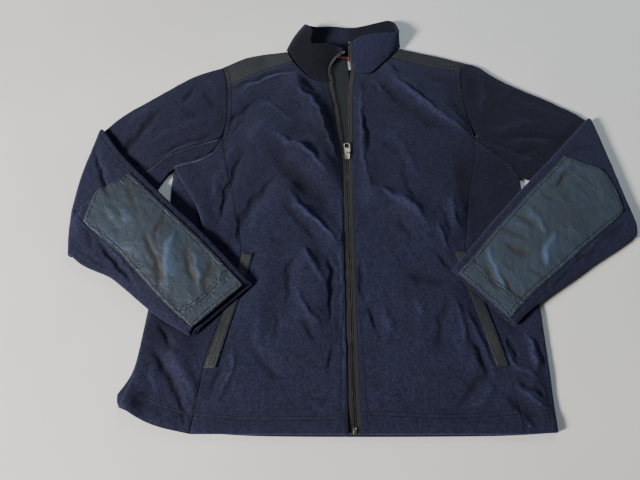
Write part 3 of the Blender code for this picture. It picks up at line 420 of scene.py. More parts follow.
@dataclass(frozen=True)
class Worn:
    """A plain surface of two tones, the second where noise is high: moulded, cast, spun or painted."""

    name: str
    under: Triple
    over: Triple
    grain: Triple  # the tones' noise: its size in metres, detail and roughness
    parting: tuple[float, float]  # the noise at which the second tone starts and is full
    relief: Triple  # the relief's noise, given as the grain is
    depth: float
    roughness: float | tuple[float, float] = 0.5
    specular: float = 0.5
    metallic: float = 0.0

    def material(self) -> Material:
        """Builds the material.

        Returns:
            The material.
        """
        g = Graph(self.name)
        grain = g.noise(*self.grain)
        colour = g.ramp(grain, *zip(self.parting, (self.under, self.over)))
        rough = g.spread(grain, *self.roughness) if isinstance(self.roughness, tuple) else self.roughness
        g.set(Base_Color=colour, Roughness=rough, Specular_IOR_Level=self.specular, Metallic=self.metallic,
              Normal=g.bump(g.noise(*self.relief), self.depth))
        return g.material


@dataclass(frozen=True)
class LabelCloth:
    """Blank woven label: a red upper part on a pale ground."""

    name: str = "label_cloth"
    red: Triple = (0.30, 0.018, 0.026)
    pale: Triple = (0.62, 0.58, 0.55)
    dust: Triple = (0.2, 0.16, 0.15)
    parting: float = 0.2905  # the height Y where the two tones meet
    edge: float = 0.0003
    thread: float = 0.0005

    def material(self) -> Material:
        """Builds the material.

        Returns:
            The material.
        """
        g = Graph(self.name)
        height = g.node("SeparateXYZ", Vector=g.place).outputs["Y"]
        upper = g.node("MapRange", Value=height, From_Min=self.parting - self.edge,
                       From_Max=self.parting + self.edge)
        ground = g.blend(upper.outputs[0], self.pale, self.red)
        g.set(Base_Color=g.blend(g.mul(g.noise(0.0012, 3.0, 0.6), 0.3), ground, self.dust), Roughness=0.6,
              Specular_IOR_Level=0.4, Sheen_Weight=0.1, Normal=g.bump(g.waves("X", self.thread), 0.0001))
        return g.material


@dataclass
class Finishes:
    """All the materials, made once."""

    fleece: Material = field(default_factory=Fleece().material)
    nylon: Material = field(default_factory=Nylon().material)
    yoke: Material = field(default_factory=Nylon(
        "yoke_nylon", (0.010, 0.011, 0.012), (0.027, 0.028, 0.031), (0.042, 0.044, 0.048), (0.46, 0.6),
        0.03, 0.0008, 0.45, 0.0005, 0.0010).material)
    welt: Material = field(default_factory=Nylon(
        "welt_nylon", (0.009, 0.010, 0.010), (0.017, 0.018, 0.020), (0.030, 0.031, 0.034), (0.5, 0.62),
        0.02, 0.0006, 0.3, 0.0005, 0.0004).material)
    flap: Material = field(default_factory=Nylon(
        "flap_cloth", (0.005, 0.005, 0.006), (0.009, 0.010, 0.011), (0.013, 0.014, 0.015), (0.6, 0.7),
        0.04, 0.0008, 0.0, 0.0006, 0.0).material)
    tape: Material = field(default_factory=Ribbed().material)
    label: Material = field(default_factory=LabelCloth().material)
    coil: Material = field(default_factory=Worn(
        "zip_coil", (0.026, 0.023, 0.022), (0.0652, 0.0590, 0.0540), (0.011, 3.0, 0.7), (0.45, 0.75),
        (0.0005, 2.0, 0.5), 0.0001, 0.36).material)
    metal: Material = field(default_factory=Worn(
        "zip_metal", (0.16, 0.135, 0.10), (0.40, 0.35, 0.255), (0.003, 4.0, 0.65), (0.35, 0.6),
        (0.0006, 2.0, 0.6), 0.00006, (0.2, 0.44), metallic=1.0).material)
    thread: Material = field(default_factory=Worn(
        "thread", (0.012, 0.014, 0.026), (0.034, 0.038, 0.060), (0.0008, 2.0, 0.6), (0.35, 0.7),
        (0.0008, 2.0, 0.6), 0.0001).material)
    floor: Material = field(default_factory=Worn(
        "floor", (0.66, 0.64, 0.61), (0.70, 0.68, 0.65), (0.3, 3.0, 0.5), (0.3, 0.7),
        (0.002, 2.0, 0.5), 0.00005, 0.7, 0.3).material)


# ---------------------------------------------------------------- lines, folds and fields
class Line:
    """A path on the cloth in plan, in millimetres."""

    def __init__(self, points: Sequence[Sequence[float | str]] | Array) -> None:
        """Keeps the path's points.

        Args:
            points: the path, from its start to its end.
        """
        self.points = np.array(points, float)
        self.run = np.diff(self.points, axis=0)
        self.steps = np.maximum(np.linalg.norm(self.run, axis=1), 1e-6)
        self.starts = np.concatenate(([0.0], np.cumsum(self.steps)))
        self.length = float(self.starts[-1])

    def near(self, places: Array) -> tuple[Array, Array]:
        """Where places lie beside the path.

        Args:
            places: n by 2, in millimetres.

        Returns:
            The distance from the path, positive on its left, and how far along it the nearest point is.
        """
        best = np.full(len(places), FAR)
        side = np.ones(len(places))
        along = np.zeros(len(places))
        for start, run, step, before in zip(self.points, self.run, self.steps, self.starts):
            off = places - start
            t = np.clip(off @ run / step ** 2, 0.0, 1.0)
            gap = np.linalg.norm(off - t[:, None] * run, axis=1)
            closer = gap < best
            best = np.where(closer, gap, best)
            side = np.where(closer, np.sign(run[0] * off[:, 1] - run[1] * off[:, 0] + 1e-12), side)
            along = np.where(closer, before + t * step, along)
        return best * side, along

    def beside(self, offset: float) -> "Line":
        """The path moved sideways.

        Args:
            offset: how far in millimetres, positive to its left.

        Returns:
            The moved path.
        """
        fine = self.smooth(FINE).points
        tangent = np.gradient(fine, axis=0)
        tangent /= np.maximum(np.linalg.norm(tangent, axis=1), 1e-9)[:, None]
        return Line(fine + np.stack((-tangent[:, 1], tangent[:, 0]), axis=1) * offset)

    def smooth(self, pitch: float) -> "Line":
        """The path as evenly spaced points of a curve through its own.

        Args:
            pitch: the spacing in millimetres.

        Returns:
            The finer path.
        """
        count = max(int(self.length / pitch), 2)
        at = np.linspace(0.0, self.length, count + 1)
        slope = np.gradient(self.points, self.starts, axis=0)
        index = np.clip(np.searchsorted(self.starts, at, side="right") - 1, 0, len(self.steps) - 1)
        step = self.steps[index]
        t = ((at - self.starts[index]) / step)[:, None]
        step = step[:, None]
        a, b = self.points[index], self.points[index + 1]
        ma, mb = slope[index] * step, slope[index + 1] * step
        made = (2 * t ** 3 - 3 * t ** 2 + 1) * a + (t ** 3 - 2 * t ** 2 + t) * ma
        made += (3 * t ** 2 - 2 * t ** 3) * b + (t ** 3 - t ** 2) * mb
        return Line(made)


@dataclass(frozen=True)
class Fold:
    """A soft ridge, or a trough where its rise is below zero, along a path drawn from the collar to the hem.

    Sizes are in millimetres; nap is painted light and shade, how much lighter or darker its colour is
    painted;
    steep is how much narrower its right side is.
    """

    line: Line
    rise: float
    half: float
    nap: float
    steep: float = 0.8

    def share(self, places: Array, spread: float = 1.0) -> Array:
        """How much of the fold there is at places.

        Args:
            places: n by 2, in millimetres.
            spread: how many times as wide it is.

        Returns:
            Shares from 0 to 1.
        """
        line = self.line
        wide = self.half * (2.0 - self.steep) * spread
        low, high = line.points.min(axis=0) - wide, line.points.max(axis=0) + wide
        close = np.all((places > low) & (places < high), axis=1)
        share = np.zeros(len(places))
        across, along = line.near(places[close])
        ends = np.clip(np.minimum(along + self.half * 0.4, line.length + self.half * 0.4 - along)
                       / (0.36 * line.length), 0.0, 1.0)
        width = np.where(across > 0, wide, self.half * self.steep * spread) * (0.45 + 0.55 * ends)
        part = np.clip(1.0 - np.abs(across) / width, 0.0, 1.0)
        share[close] = part * part * (3 - 2 * part) * ends * ends * (3 - 2 * ends)
        return share


@dataclass(frozen=True)
class Ripple:
    """Uneven low waves all over a cloth, the same each time."""

    height: float
    shortest: float
    longest: float
    seed: int
    waves: int = 22

    def at(self, places: Array) -> Array:
        """The waves' height.

        Args:
            places: n by 2, in millimetres.

        Returns:
            The heights in millimetres.
        """
        rng = np.random.default_rng(self.seed)
        total = np.zeros(len(places))
        for _ in range(self.waves):
            angle = rng.uniform(0, 2 * math.pi)
            size = rng.uniform(self.shortest, self.longest)
            wave = 2 * math.pi / size * np.array((math.cos(angle), math.sin(angle)))
            total += np.sin(places @ wave + rng.uniform(0, 2 * math.pi)) * size / self.longest
        return total / math.sqrt(self.waves) * self.height


@dataclass(frozen=True)
class Relief:
    """The folds and ripples of one layer of cloth."""

    folds: tuple[Fold, ...]
    ripples: tuple[Ripple, ...]

    def at(self, places: Array) -> Array:
        """The layer's height above its solid.

        Args:
            places: n by 2, in millimetres.

        Returns:
            The heights in millimetres.
        """
        moved = astray(places)
        total = sum(fold.rise * fold.share(moved) for fold in self.folds)
        for ripple in self.ripples:
            total += ripple.at(places)
        return total

    def nap(self, places: Array, spread: float = 1.0) -> Array:
        """The layer's painted light and shade, how much lighter or darker its colour is painted, from -1 to
        1, with folds so many times as wide.
        """
        moved = astray(places)
        return np.tanh(sum(fold.nap * fold.share(moved, spread) for fold in self.folds) * 1.1)


class Swell:
    """The rise of a layer's own solid over its lying level, read off a grid."""

    def __init__(self, nodes: Sequence[str], level: float, pitch: float = 3.0, soften: int = 2) -> None:
        """Reads the solids' upper side from above.

        Args:
            nodes: the frame's nodes that make the layer.
            level: the height in millimetres at which the cloth only lies.
            pitch: the grid's spacing in millimetres.
            soften: how many times the grid is smoothed.
        """
        tree = tree_of([rounded(cage(node), node + "_probe", 2) for node in nodes], remove=True)
        lows, highs = zip(*(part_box(node) for node in nodes))
        self.pitch = pitch
        self.low = np.array([min(c[i] for c in lows) / MM for i in (0, 1)]) - 4 * pitch
        high = np.array([max(c[i] for c in highs) / MM for i in (0, 1)]) + 4 * pitch
        self.shape = tuple(((high - self.low) / pitch).astype(int) + 2)
        self.grid = np.zeros(self.shape)
        for spot in np.ndindex(self.shape):
            hit = landing(tree, *(self.low + np.array(spot) * pitch))[0]
            if hit is not None and hit.z > 0.0:
                self.grid[spot] = hit.z / MM - level
        for _ in range(soften):
            for axis in (0, 1):
                self.grid = (np.roll(self.grid, 1, axis) + 2 * self.grid + np.roll(self.grid, -1, axis)) / 4

    def at(self, places: Array) -> Array:
        """The rise at places in plan.

        Args:
            places: n by 2, in millimetres.

        Returns:
            The heights over the lying level, in millimetres.
        """
        spot = (places - self.low) / self.pitch
        cell = np.clip(spot.astype(int), 0, np.array(self.shape) - 2)
        u, v = (np.clip(spot - cell, 0.0, 1.0)).T
        i, j = cell.T
        grid = self.grid
        near = grid[i, j] * (1 - u) + grid[i + 1, j] * u
        far = grid[i, j + 1] * (1 - u) + grid[i + 1, j + 1] * u
        return near * (1 - v) + far * v


@dataclass(frozen=True)
class Seam:
    """A sewn seam: its line, and the side of it, 1 for left, on which its edges are stitched down."""

    line: Line
    band: float


@dataclass(frozen=True)
class Row:
    """A row of stitches, the pieces that it is sewn on, and which row of its pair it is, 0 or 1."""

    line: Line
    on: tuple[str, ...]
    turn: int


def astray(places: Array) -> Array:
    """Places pulled a little off, so that what is drawn there runs unevenly.

    Args:
        places: n by 2, in millimetres.

    Returns:
        The moved places.
    """
    x, y = places.T
    over = 1.7 * np.sin(x / 7.3 + y / 15.1) + 1.3 * np.sin(y / 5.3 - x / 9.7 + 1.0)
    along = 1.7 * np.sin(y / 7.9 + x / 13.7 + 2.0) + 1.3 * np.sin(x / 5.9 + y / 8.9 + 4.0)
    return places + np.stack((over, along), axis=1)


def smoothstep(low: float, high: float, value: Array) -> Array:
    """A soft step from 0 to 1 between two values."""
    t = np.clip((value - low) / (high - low), 0.0, 1.0)
    return t * t * (3 - 2 * t)


def path(row: Sequence[str]) -> Line:
    """A path read from points written x,y."""
    return Line([spot.split(",") for spot in row])


def sides(right: str, left: str) -> dict[Side, Line]:
    """The wearer's right and left path, each given as a row of points."""
    return {Side.RIGHT: path(right.split()), Side.LEFT: path(left.split())}


def folds(table: str) -> tuple[Fold, ...]:
    """Folds read from a table of rise, half, nap and the path's points; its rows end with a semicolon."""
    rows = [row.split() for row in table.split(";")[:-1]]
    return tuple(Fold(path(row[3:]), *map(float, row[:3])) for row in rows)


# ---------------------------------------------------------------- cloth from the frame's nodes
def added(name: str, data: bpy.types.ID) -> Piece:
    """A new object of the scene."""
    made = bpy.data.objects.new(name, data)
    bpy.context.scene.collection.objects.link(made)
    return made


def poured(bm: bmesh.types.BMesh, name: str) -> Piece:
    """A bmesh as a new object, without the normals that its solid came with.

    Args:
        bm: the bmesh, which is freed.
        name: the object's name.

    Returns:
        The object.
    """
    mesh = bpy.data.meshes.new(name)
    bm.to_mesh(mesh)
    bm.free()
    for own in ("custom_normal", "sharp_edge"):
        if own in mesh.attributes:
            mesh.attributes.remove(mesh.attributes[own])
    return added(name, mesh)


def cage(node: str) -> Piece:
    """A node's form as a closed mesh of four-sided faces whose rims are creased.

    Args:
        node: the frame's node.

    Returns:
        A mesh object at the origin.
    """
    bm = bmesh.new()
    bm.from_mesh(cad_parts[node].data)
    bmesh.ops.remove_doubles(bm, verts=bm.verts, dist=1e-5)
    bmesh.ops.join_triangles(bm, faces=bm.faces, angle_face_threshold=math.radians(60),
                             angle_shape_threshold=math.pi)
    bmesh.ops.recalc_face_normals(bm, faces=bm.faces)
    firm = bm.edges.layers.float.new("crease_edge")
    held = bm.verts.layers.float.new("crease_vert")
    for edge in bm.edges:
        if len(edge.link_faces) == 2 and edge.calc_face_angle(0.0) > RIM_ANGLE:
            edge[firm] = RIM_CREASE
    for vert in bm.verts:
        rims = [edge.other_vert(vert).co - vert.co for edge in vert.link_edges if edge[firm] > 0.0]
        if len(rims) > 2 or len(rims) == 2 and rims[0].angle(rims[1], math.pi) < CORNER_ANGLE:
            vert[held] = 1.0
    return poured(bm, node + "_cage")


def rim(node: str) -> Line:
    """The outline of a node's upper side, in plan.

    Args:
        node: the frame's node.

    Returns:
        The outline in millimetres, ending where it starts.
    """
    obj = cage(node)
    bm = bmesh.new()
    bm.from_mesh(obj.data)
    bpy.data.objects.remove(obj)
    bm.normal_update()
    beside: dict[int, list[int]] = {}
    for edge in bm.edges:
        tops = [face.normal.z > UPWARD for face in edge.link_faces]
        if len(tops) == 2 and tops[0] != tops[1] and edge.calc_face_angle(0.0) > OUTLINE_ANGLE:
            a, b = (vert.index for vert in edge.verts)
            beside.setdefault(a, []).append(b)
            beside.setdefault(b, []).append(a)
    bm.verts.ensure_lookup_table()
    loop = [max(beside, key=lambda i: bm.verts[i].co.z)]
    while ways := [i for i in beside[loop[-1]] if i not in loop]:
        loop.append(ways[0])
    points = [(bm.verts[i].co.x / MM, bm.verts[i].co.y / MM) for i in loop + loop[:1]]
    bm.free()
    area = sum(a[0] * b[1] - a[1] * b[0] for a, b in zip(points, points[1:]))
    return Line(points if area > 0 else points[::-1])


def settled(obj: Piece, name: str) -> Piece:
    """An object's evaluated form as a plain mesh under a new name; the old object goes.

    Args:
        obj: the object with its modifiers.
        name: the new object's name.

    Returns:
        The new object.
    """
    mesh = bpy.data.meshes.new_from_object(obj.evaluated_get(bpy.context.evaluated_depsgraph_get()))
    old = obj.data
    bpy.data.objects.remove(obj)
    if isinstance(old, Mesh) and not old.users:
        bpy.data.meshes.remove(old)
    mesh.name = name
    return added(name, mesh)


def rounded(obj: Piece, name: str, levels: int) -> Piece:
    """A cage rounded by subdivision.

    Args:
        obj: the cage.
        name: the new object's name.
        levels: how many times each face is split.

    Returns:
        The rounded object.
    """
    modifier = obj.modifiers.new("round", "SUBSURF")
    modifier.levels = modifier.render_levels = levels
    return settled(obj, name)


def tree_of(objects: Sequence[Piece], remove: bool = False) -> BVHTree:
    """A tree of faces for rays.

    Args:
        objects: the meshes in it.
        remove: whether the objects go afterwards.

    Returns:
        The tree.
    """
    verts: list[Vector] = []
    faces: list[tuple[int, ...]] = []
    for obj in objects:
        start = len(verts)
        verts += [v.co.copy() for v in obj.data.vertices]
        faces += [tuple(start + i for i in f.vertices) for f in obj.data.polygons]
        if remove:
            bpy.data.objects.remove(obj)
    return BVHTree.FromPolygons(verts, faces)


def landing(tree: BVHTree, x: float, y: float) -> tuple[Vector | None, Vector | None]:
    """Where something dropped at a place, given in millimetres, lands, and the normal there."""
    return tree.ray_cast(Vector((x * MM, y * MM, 0.1)), Vector((0.0, 0.0, -1.0)))[:2]


def vectors(mesh: Mesh, kind: str) -> Array:
    """A mesh's vertex places, co, or normals, normal, as an n by 3 array."""
    out = np.empty(len(mesh.vertices) * 3)
    mesh.vertices.foreach_get(kind, out)
    return out.reshape(-1, 3)


def still(points: Array, normals: Array) -> tuple[Array, Array]:
    """No rise and no nap of its own."""
    return np.zeros(len(points)), np.zeros(len(points))


def paint(mesh: Mesh, **marks: Array) -> None:
    """Writes the mesh's attributes by their names, one value for each vertex."""
    for name, values in marks.items():
        mesh.attributes.new(name, "FLOAT", "POINT").data.foreach_set("value", values.astype(np.float32))


def dress(obj: Piece, nodes: Sequence[str], body: str, material: Material) -> None:
    """Gives a finished piece its material and its body, and hides the frame's nodes that it replaces.

    Args:
        obj: the piece.
        nodes: the frame's nodes that it replaces.
        body: the body that it rides.
        material: its finish.
    """
    faces = obj.data.polygons
    obj.data.materials.clear()
    obj.data.materials.append(material)
    faces.foreach_set("material_index", np.zeros(len(faces), np.int32))
    faces.foreach_set("use_smooth", np.ones(len(faces), bool))
    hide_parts(*nodes)
    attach(obj, body)
    log.info("%s: %d faces on %s", obj.name, len(faces), body)


@dataclass(frozen=True)
class Panel:
    """One cut piece of cloth: its node, its flat cut, what it lies on and what it is made of."""

    node: str
    flat: tuple[float, float]
    area: float
    rests_on: tuple[str, ...]
    finish: str = "fleece"  # its name among the finishes
    slot: str = "fleece"
    levels: int = 3
    seamed: bool = True  # whether the sewn seams mark it

    def build(self, garment: "Garment", lift: Lift = still) -> None:
        """Makes the piece and dresses it.

        Args:
            garment: the garment that it becomes part of.
            lift: gives each vertex its rise in millimetres and its painted light and shade from its place and
                normal.
        """
        obj = rounded(cage(self.node), self.node + "_cloth", self.levels)
        mesh = obj.data
        points = vectors(mesh, "co") / MM
        rise, nap = lift(points, vectors(mesh, "normal"))
        points[:, 2] += rise
        mesh.vertices.foreach_set("co", (points * MM).astype(np.float32).ravel())
        mesh.update()
        # the painted light and shade go to the mesh as a vertex attribute that the materials read
        paint(mesh, nap=nap)
        self.mark(mesh, points[:, :2], garment.seams if self.seamed else (), garment.rows)
        dress(obj, (self.node,), "jacket", getattr(garment.finishes, self.finish))
        garment.pieces[self.node] = obj

    def mark(self, mesh: Mesh, places: Array, seams: Sequence[Seam], rows: Sequence[Row]) -> None:
        """Writes how far each vertex is from the seams and stitch rows.

        Args:
            mesh: the piece's mesh.
            places: its vertices in plan, in millimetres.
            seams: the seams on or beside it.
            rows: the rows of stitches, on whatever piece.
        """
        nearest = np.full(len(places), FAR)
        along = np.zeros(len(places))
        dents = [np.full(len(places), ROW_REACH) for _ in ROW_NAMES]
        for seam in seams:
            across, where = seam.line.smooth(SEAM_PITCH).near(places)
            across = across * seam.band
            closer = np.abs(across) < np.abs(nearest)
            nearest = np.where(closer, across, nearest)
            along = np.where(closer, where, along)
        for row in (row for row in rows if self.node in row.on):
            off = row.line.near(places)[0]
            off = off * (np.sign(np.median(off)) or 1.0)
            dents[row.turn] = np.where(np.abs(off) < np.abs(dents[row.turn]), off, dents[row.turn])
        pucker = np.exp(-((nearest - PUCKER_AT) / PUCKER_WIDE) ** 2)
        paint(mesh, seam_d=np.minimum(np.abs(nearest), SEAM_REACH), seam_band=(nearest > 0) * 1.0,
              seam_u=along, pucker=pucker, **dict(zip(ROW_NAMES, dents)))


@dataclass
class Garment:
    """What the sub-assemblies share: finishes, seams, rows of stitches and the pieces made so far."""

    finishes: Finishes = field(default_factory=Finishes)
    seams: list[Seam] = field(default_factory=list)
    rows: list[Row] = field(default_factory=list)
    pieces: dict[str, Piece] = field(default_factory=dict)


# ---------------------------------------------------------------- the jacket's lines and folds
ARMHOLE = sides(
    "-302,35 -268,48 -240,66 -223,100 -219,135 -220,173 -225,223 -230,248 -238,271",
    "298,18 285,43 260,70 233,101 225,150 224,205 227,259 231,272 236,284",
)
POCKET_SEAM = sides(
    "-221,-396 -219,-372 -212,-310 -170,-131 -188,-40 -208,35 -223,100",
    "229,-396 227,-372 221,-307 184,-126 203,-30 222,45 233,101",
)
YOKE_SEAM = sides(
    "-225,223 -163,259 -99,288",
    "227,259 146,281 92,300",
)
ZIP_EDGE = sides(
    "-8.6,-396 -8.6,50 -11,66 -14,92 -21.5,167 -31,229",
    "8.6,-396 8.6,50 11,66 13,108 14,201 22,257",
)
UNDER_SEAM = sides(
    "-223,100 -279,77 -308,63 -327,48 -344,29 -362,20 -384,1 -406,-18 -428,-35 -451,-54",
    "233,101 287,77 316,61 338,49 359,33 379,25 399,5 419,-14 440,-32 460,-51",
)
TOP_STRIP = sides(
    "-440,96 -420,70 -399,44 -375,20 -328,-26 -279,-72 -231,-117 -186,-164",
    "444,122 420,98 373,49 326,2 279,-46 232,-94 188,-144",
)
HEM_ROW = sides(
    "-303,-346 -281,-356 -233,-371 -189,-376 -149,-379 -88,-379 -14,-378",
    "14,-372 62,-374 102,-376 143,-376 198,-373 238,-369 272,-364",
)
CUFF_ROW = sides(
    "-249,-229 -229,-218 -209,-196 -189,-170 -177,-150",
    "180,-142 207,-175 236,-203 258,-227",
)
# the folds' columns: rise half nap, then the points x,y of the path from the collar to the hem, in mm; nap is
# painted light and shade
FRONT_FOLDS = """
4.5 8.1 0.9 -151,111 -137,111 -119,97 -104,80 -82,73 -61,52 -38,24 -23,12;
-2.6 21.5 -0.8 -151,100 -136,80 -120,52 -102,22 -74,2 -47,-26 -26,-76;
-1.6 16.5 -0.7 -74,141 -54,102 -36,64 -23,35;
4.2 7.1 0.9 -108,-6 -92,-34 -75,-55 -55,-70 -39,-83 -26,-101 -14,-123;
-2.2 10.0 -0.75 -116,-28 -100,-45 -86,-66 -66,-88 -47,-114;
3.2 7.7 0.9 -112,234 -93,213 -79,198 -66,191 -53,164 -43,136 -33,102 -22,69 -9,35;
-1.4 13.5 -0.8 -82,249 -68,223 -53,203;
-1.2 5.6 -0.5 -103,186 -88,174 -75,155;
2.4 7.4 0.7 -165,162 -151,172 -136,169 -121,157 -106,141 -83,122;
-1.4 6.6 -0.5 -153,203 -137,184 -121,167 -102,148;
-2.8 7.9 -0.95 -163,189 -182,169 -200,152 -218,127;
-1 5.5 -0.4 -182,138 -196,124 -211,109;
-2.4 9.7 -0.95 -88,262 -115,262 -144,252 -166,239 -190,229 -220,213;
1.8 5.8 0.5 -84,257 -115,249 -139,244 -162,231 -180,221 -198,208 -220,201;
-3 8.0 -0.9 -178,84 -188,52 -195,26 -202,2 -206,-24 -210,-53 -217,-87;
2 16.0 0.35 -193,91 -208,52 -217,22 -223,-6 -229,-34;
-2.8 9.5 -0.8 -113,30 -129,6 -145,-14 -159,-32 -169,-49 -176,-68 -178,-94 -179,-123;
1.6 15.1 0.25 -118,-18 -140,-42 -155,-68 -159,-101;
1.2 14.6 0.25 -142,136 -162,113 -172,91;
-2.6 8.7 -0.7 -80,-121 -89,-140 -97,-160 -95,-180 -96,-198 -101,-219;
-2 6.7 -0.55 -113,-225 -109,-243 -111,-260 -118,-273;
3 7.2 0.65 -77,-112 -68,-129 -60,-147 -50,-160 -39,-179;
2.8 7.6 0.6 -82,-183 -77,-203 -71,-219 -62,-231 -51,-245 -41,-258;
-2.6 7.1 -0.8 -53,-123 -36,-138 -30,-160 -29,-185 -30,-209 -32,-228 -38,-252;
-2.4 7.4 -0.65 -77,-240 -65,-252 -56,-263 -44,-267;
-1.8 7.2 -0.5 -24,-276 -30,-292 -37,-313;
-2.2 6.5 -0.6 -154,-275 -142,-288 -132,-300 -122,-312 -109,-321 -95,-324 -81,-321;
1.8 5.8 0.5 -174,-276 -170,-292 -173,-310 -178,-327 -185,-343;
-1.8 5.0 -0.5 -187,-305 -191,-321 -197,-340;
-1.4 4.9 -0.4 -170,-321 -177,-339 -185,-355;
-1 5.5 -0.3 -69,-351 -47,-353 -24,-351;
1.4 11.9 0.25 -133,-228 -138,-258 -130,-285;
-1 9.6 -0.3 -119,-108 -111,-112;
-3 9.4 -0.95 -293,-275 -280,-295 -267,-314 -254,-332 -242,-349 -232,-365 -225,-377;
-2.4 5.9 -0.8 -284,-243 -273,-263 -262,-279 -248,-295;
1.8 8.7 0.3 -266,-276 -249,-302 -231,-329 -217,-353;
-1 5.4 -0.4 -237,-369 -229,-387;
1.2 8.5 0.3 -288,-302 -279,-324 -271,-343;
5 8.8 1.0 74,270 88,249 105,221 126,196 140,181 160,162 182,141 203,122 219,104 230,86;
-2.6 19.1 -0.8 70,234 91,201 111,172 133,148 156,127 183,109 210,91;
-2 9.8 -0.9 83,291 99,265 115,244;
-1.6 23.2 -0.7 156,254 179,239 201,223 208,193 216,155;
1.4 9.6 0.35 110,234 129,226 150,208;
1 5.6 0.3 173,179 193,157 211,131;
3 7.7 0.75 26,234 28,196 29,160 27,124 27,80 30,47 32,16 36,-14 38,-30;
-2.4 8.3 -0.85 34,155 36,124 41,95 34,64;
-1.5 7.6 -0.6 35,229 40,206;
1.6 5.8 0.6 47,239 60,223 74,203;
-1.2 5.7 -0.6 50,223 61,206;
1.8 12.6 0.35 50,115 70,104 87,97 98,80 104,56 114,30 130,2;
-2 9.8 -0.6 67,86 78,73 92,60;
-1.6 8.7 -0.5 95,41 100,16 105,-8 116,-40;
3.6 11.0 0.8 41,-14 61,-16 77,-28 93,-38 105,-49 117,-63 125,-83;
-1.6 9.8 -0.5 81,-68 92,-87 102,-105;
2.6 8.4 0.6 175,-18 173,-49 173,-76 182,-90;
2.4 5.2 0.75 144,-68 148,-90 152,-112 158,-133;
-2.2 5.8 -0.7 152,-30 156,-55 161,-83 161,-108;
-1.4 6.4 -0.6 127,-96 136,-105;
-1.8 22.7 -0.8 197,47 200,6 201,-34 204,-64;
-1 16.7 -0.3 79,164 100,150 117,131;
-3 13.8 -0.8 160,-182 137,-175 113,-170 88,-164;
-2.4 8.7 -0.7 132,-121 145,-140 158,-160;
-2.2 8.4 -0.6 146,-190 142,-217 130,-240 133,-258 122,-273 111,-286 101,-298;
2 6.8 0.45 158,-198 160,-225 162,-248 160,-273 150,-293;
-3 7.4 -0.85 164,-240 169,-263 175,-277 182,-292 185,-307 188,-318 176,-328 165,-338 155,-348 147,-359
  134,-365;
2 4.8 0.6 166,-208 173,-228 179,-248 186,-266 192,-288 197,-306 200,-321;
2.4 7.0 0.5 197,-328 187,-343 172,-355 155,-365;
-2.2 6.8 -0.65 22,-209 29,-222 33,-237 37,-252 42,-266;
2 10.5 0.4 44,-215 51,-237 56,-264;
-2 7.1 -0.55 16,-140 16,-169 18,-193 22,-212;
1.4 10.6 0.2 98,-203 103,-228 98,-252;
1.2 7.2 0.25 168,-288 175,-302 168,-316;
-2.6 8.0 -0.8 228,-264 232,-280 237,-295;
3 8.0 0.8 251,-258 259,-277 261,-293 259,-313;
-1.6 5.8 -0.5 271,-273 272,-292 272,-310;
2.2 4.9 0.7 218,-279 225,-299 233,-310 246,-316 258,-324 271,-331;
-2.6 7.0 -0.8 228,-321 240,-331 255,-339 267,-349;
2 4.8 0.55 224,-327 234,-340 246,-351 258,-359 271,-364;
-2 13.8 -0.7 212,-346 224,-359 238,-369 246,-384;
"""
PLACKET_FOLD = "0.7 5.5 0.7 -12,40 -13,-130 -12,-300 -13,-392;"
UPPER_FOLDS = """
-3 11.5 -1.2 -336,172 -353,148 -366,120 -376,98 -390,78 -412,66;
-2.8 8.0 -1.2 -221,117 -242,108 -262,97 -283,90 -304,77 -320,64 -332,49;
2 7.1 0.4 -233,90 -261,86 -285,77 -306,66 -325,47 -338,30;
-2 4.6 -0.9 -241,68 -261,55 -278,49 -291,42;
-2 6.9 -0.7 -279,230 -290,210 -299,190 -303,169;
-1.4 11.2 -0.5 -302,171 -288,152 -271,140;
-2.8 7.2 -0.9 -269,215 -257,190 -247,176 -234,166 -223,161;
2 6.9 0.45 -268,241 -251,218 -237,193;
-2.4 9.0 -1.0 -427,106 -414,86 -398,68;
-2 10.5 -0.9 -384,59 -364,42 -340,24;
1.8 14.2 0.3 -353,81 -326,103 -292,119 -266,135 -240,147;
-1.4 4.9 -0.7 -230,181 -227,147 -226,119;
1.4 12.7 0.2 -396,124 -378,147 -359,169;
-2.4 9.3 -0.8 243,251 239,210 241,169;
3 6.6 0.9 259,256 264,220 257,185 248,154 244,128;
-1 11.5 -0.2 281,230 279,185 268,138;
2 10.8 0.55 252,108 284,115 317,126 345,128 367,124;
-2.6 8.1 -0.7 272,94 302,97 334,101 365,97 385,83;
2.4 5.3 0.9 267,77 295,83 319,88 338,88 355,81 364,68;
-2.4 7.9 -1.0 293,62 313,68 333,70 344,57 348,42;
1.4 5.2 0.6 288,47 311,49 337,53;
-2 12.9 -0.9 442,147 415,119 387,92 362,66;
-1 26.5 -0.55 303,205 347,190 391,166 427,147;
"""
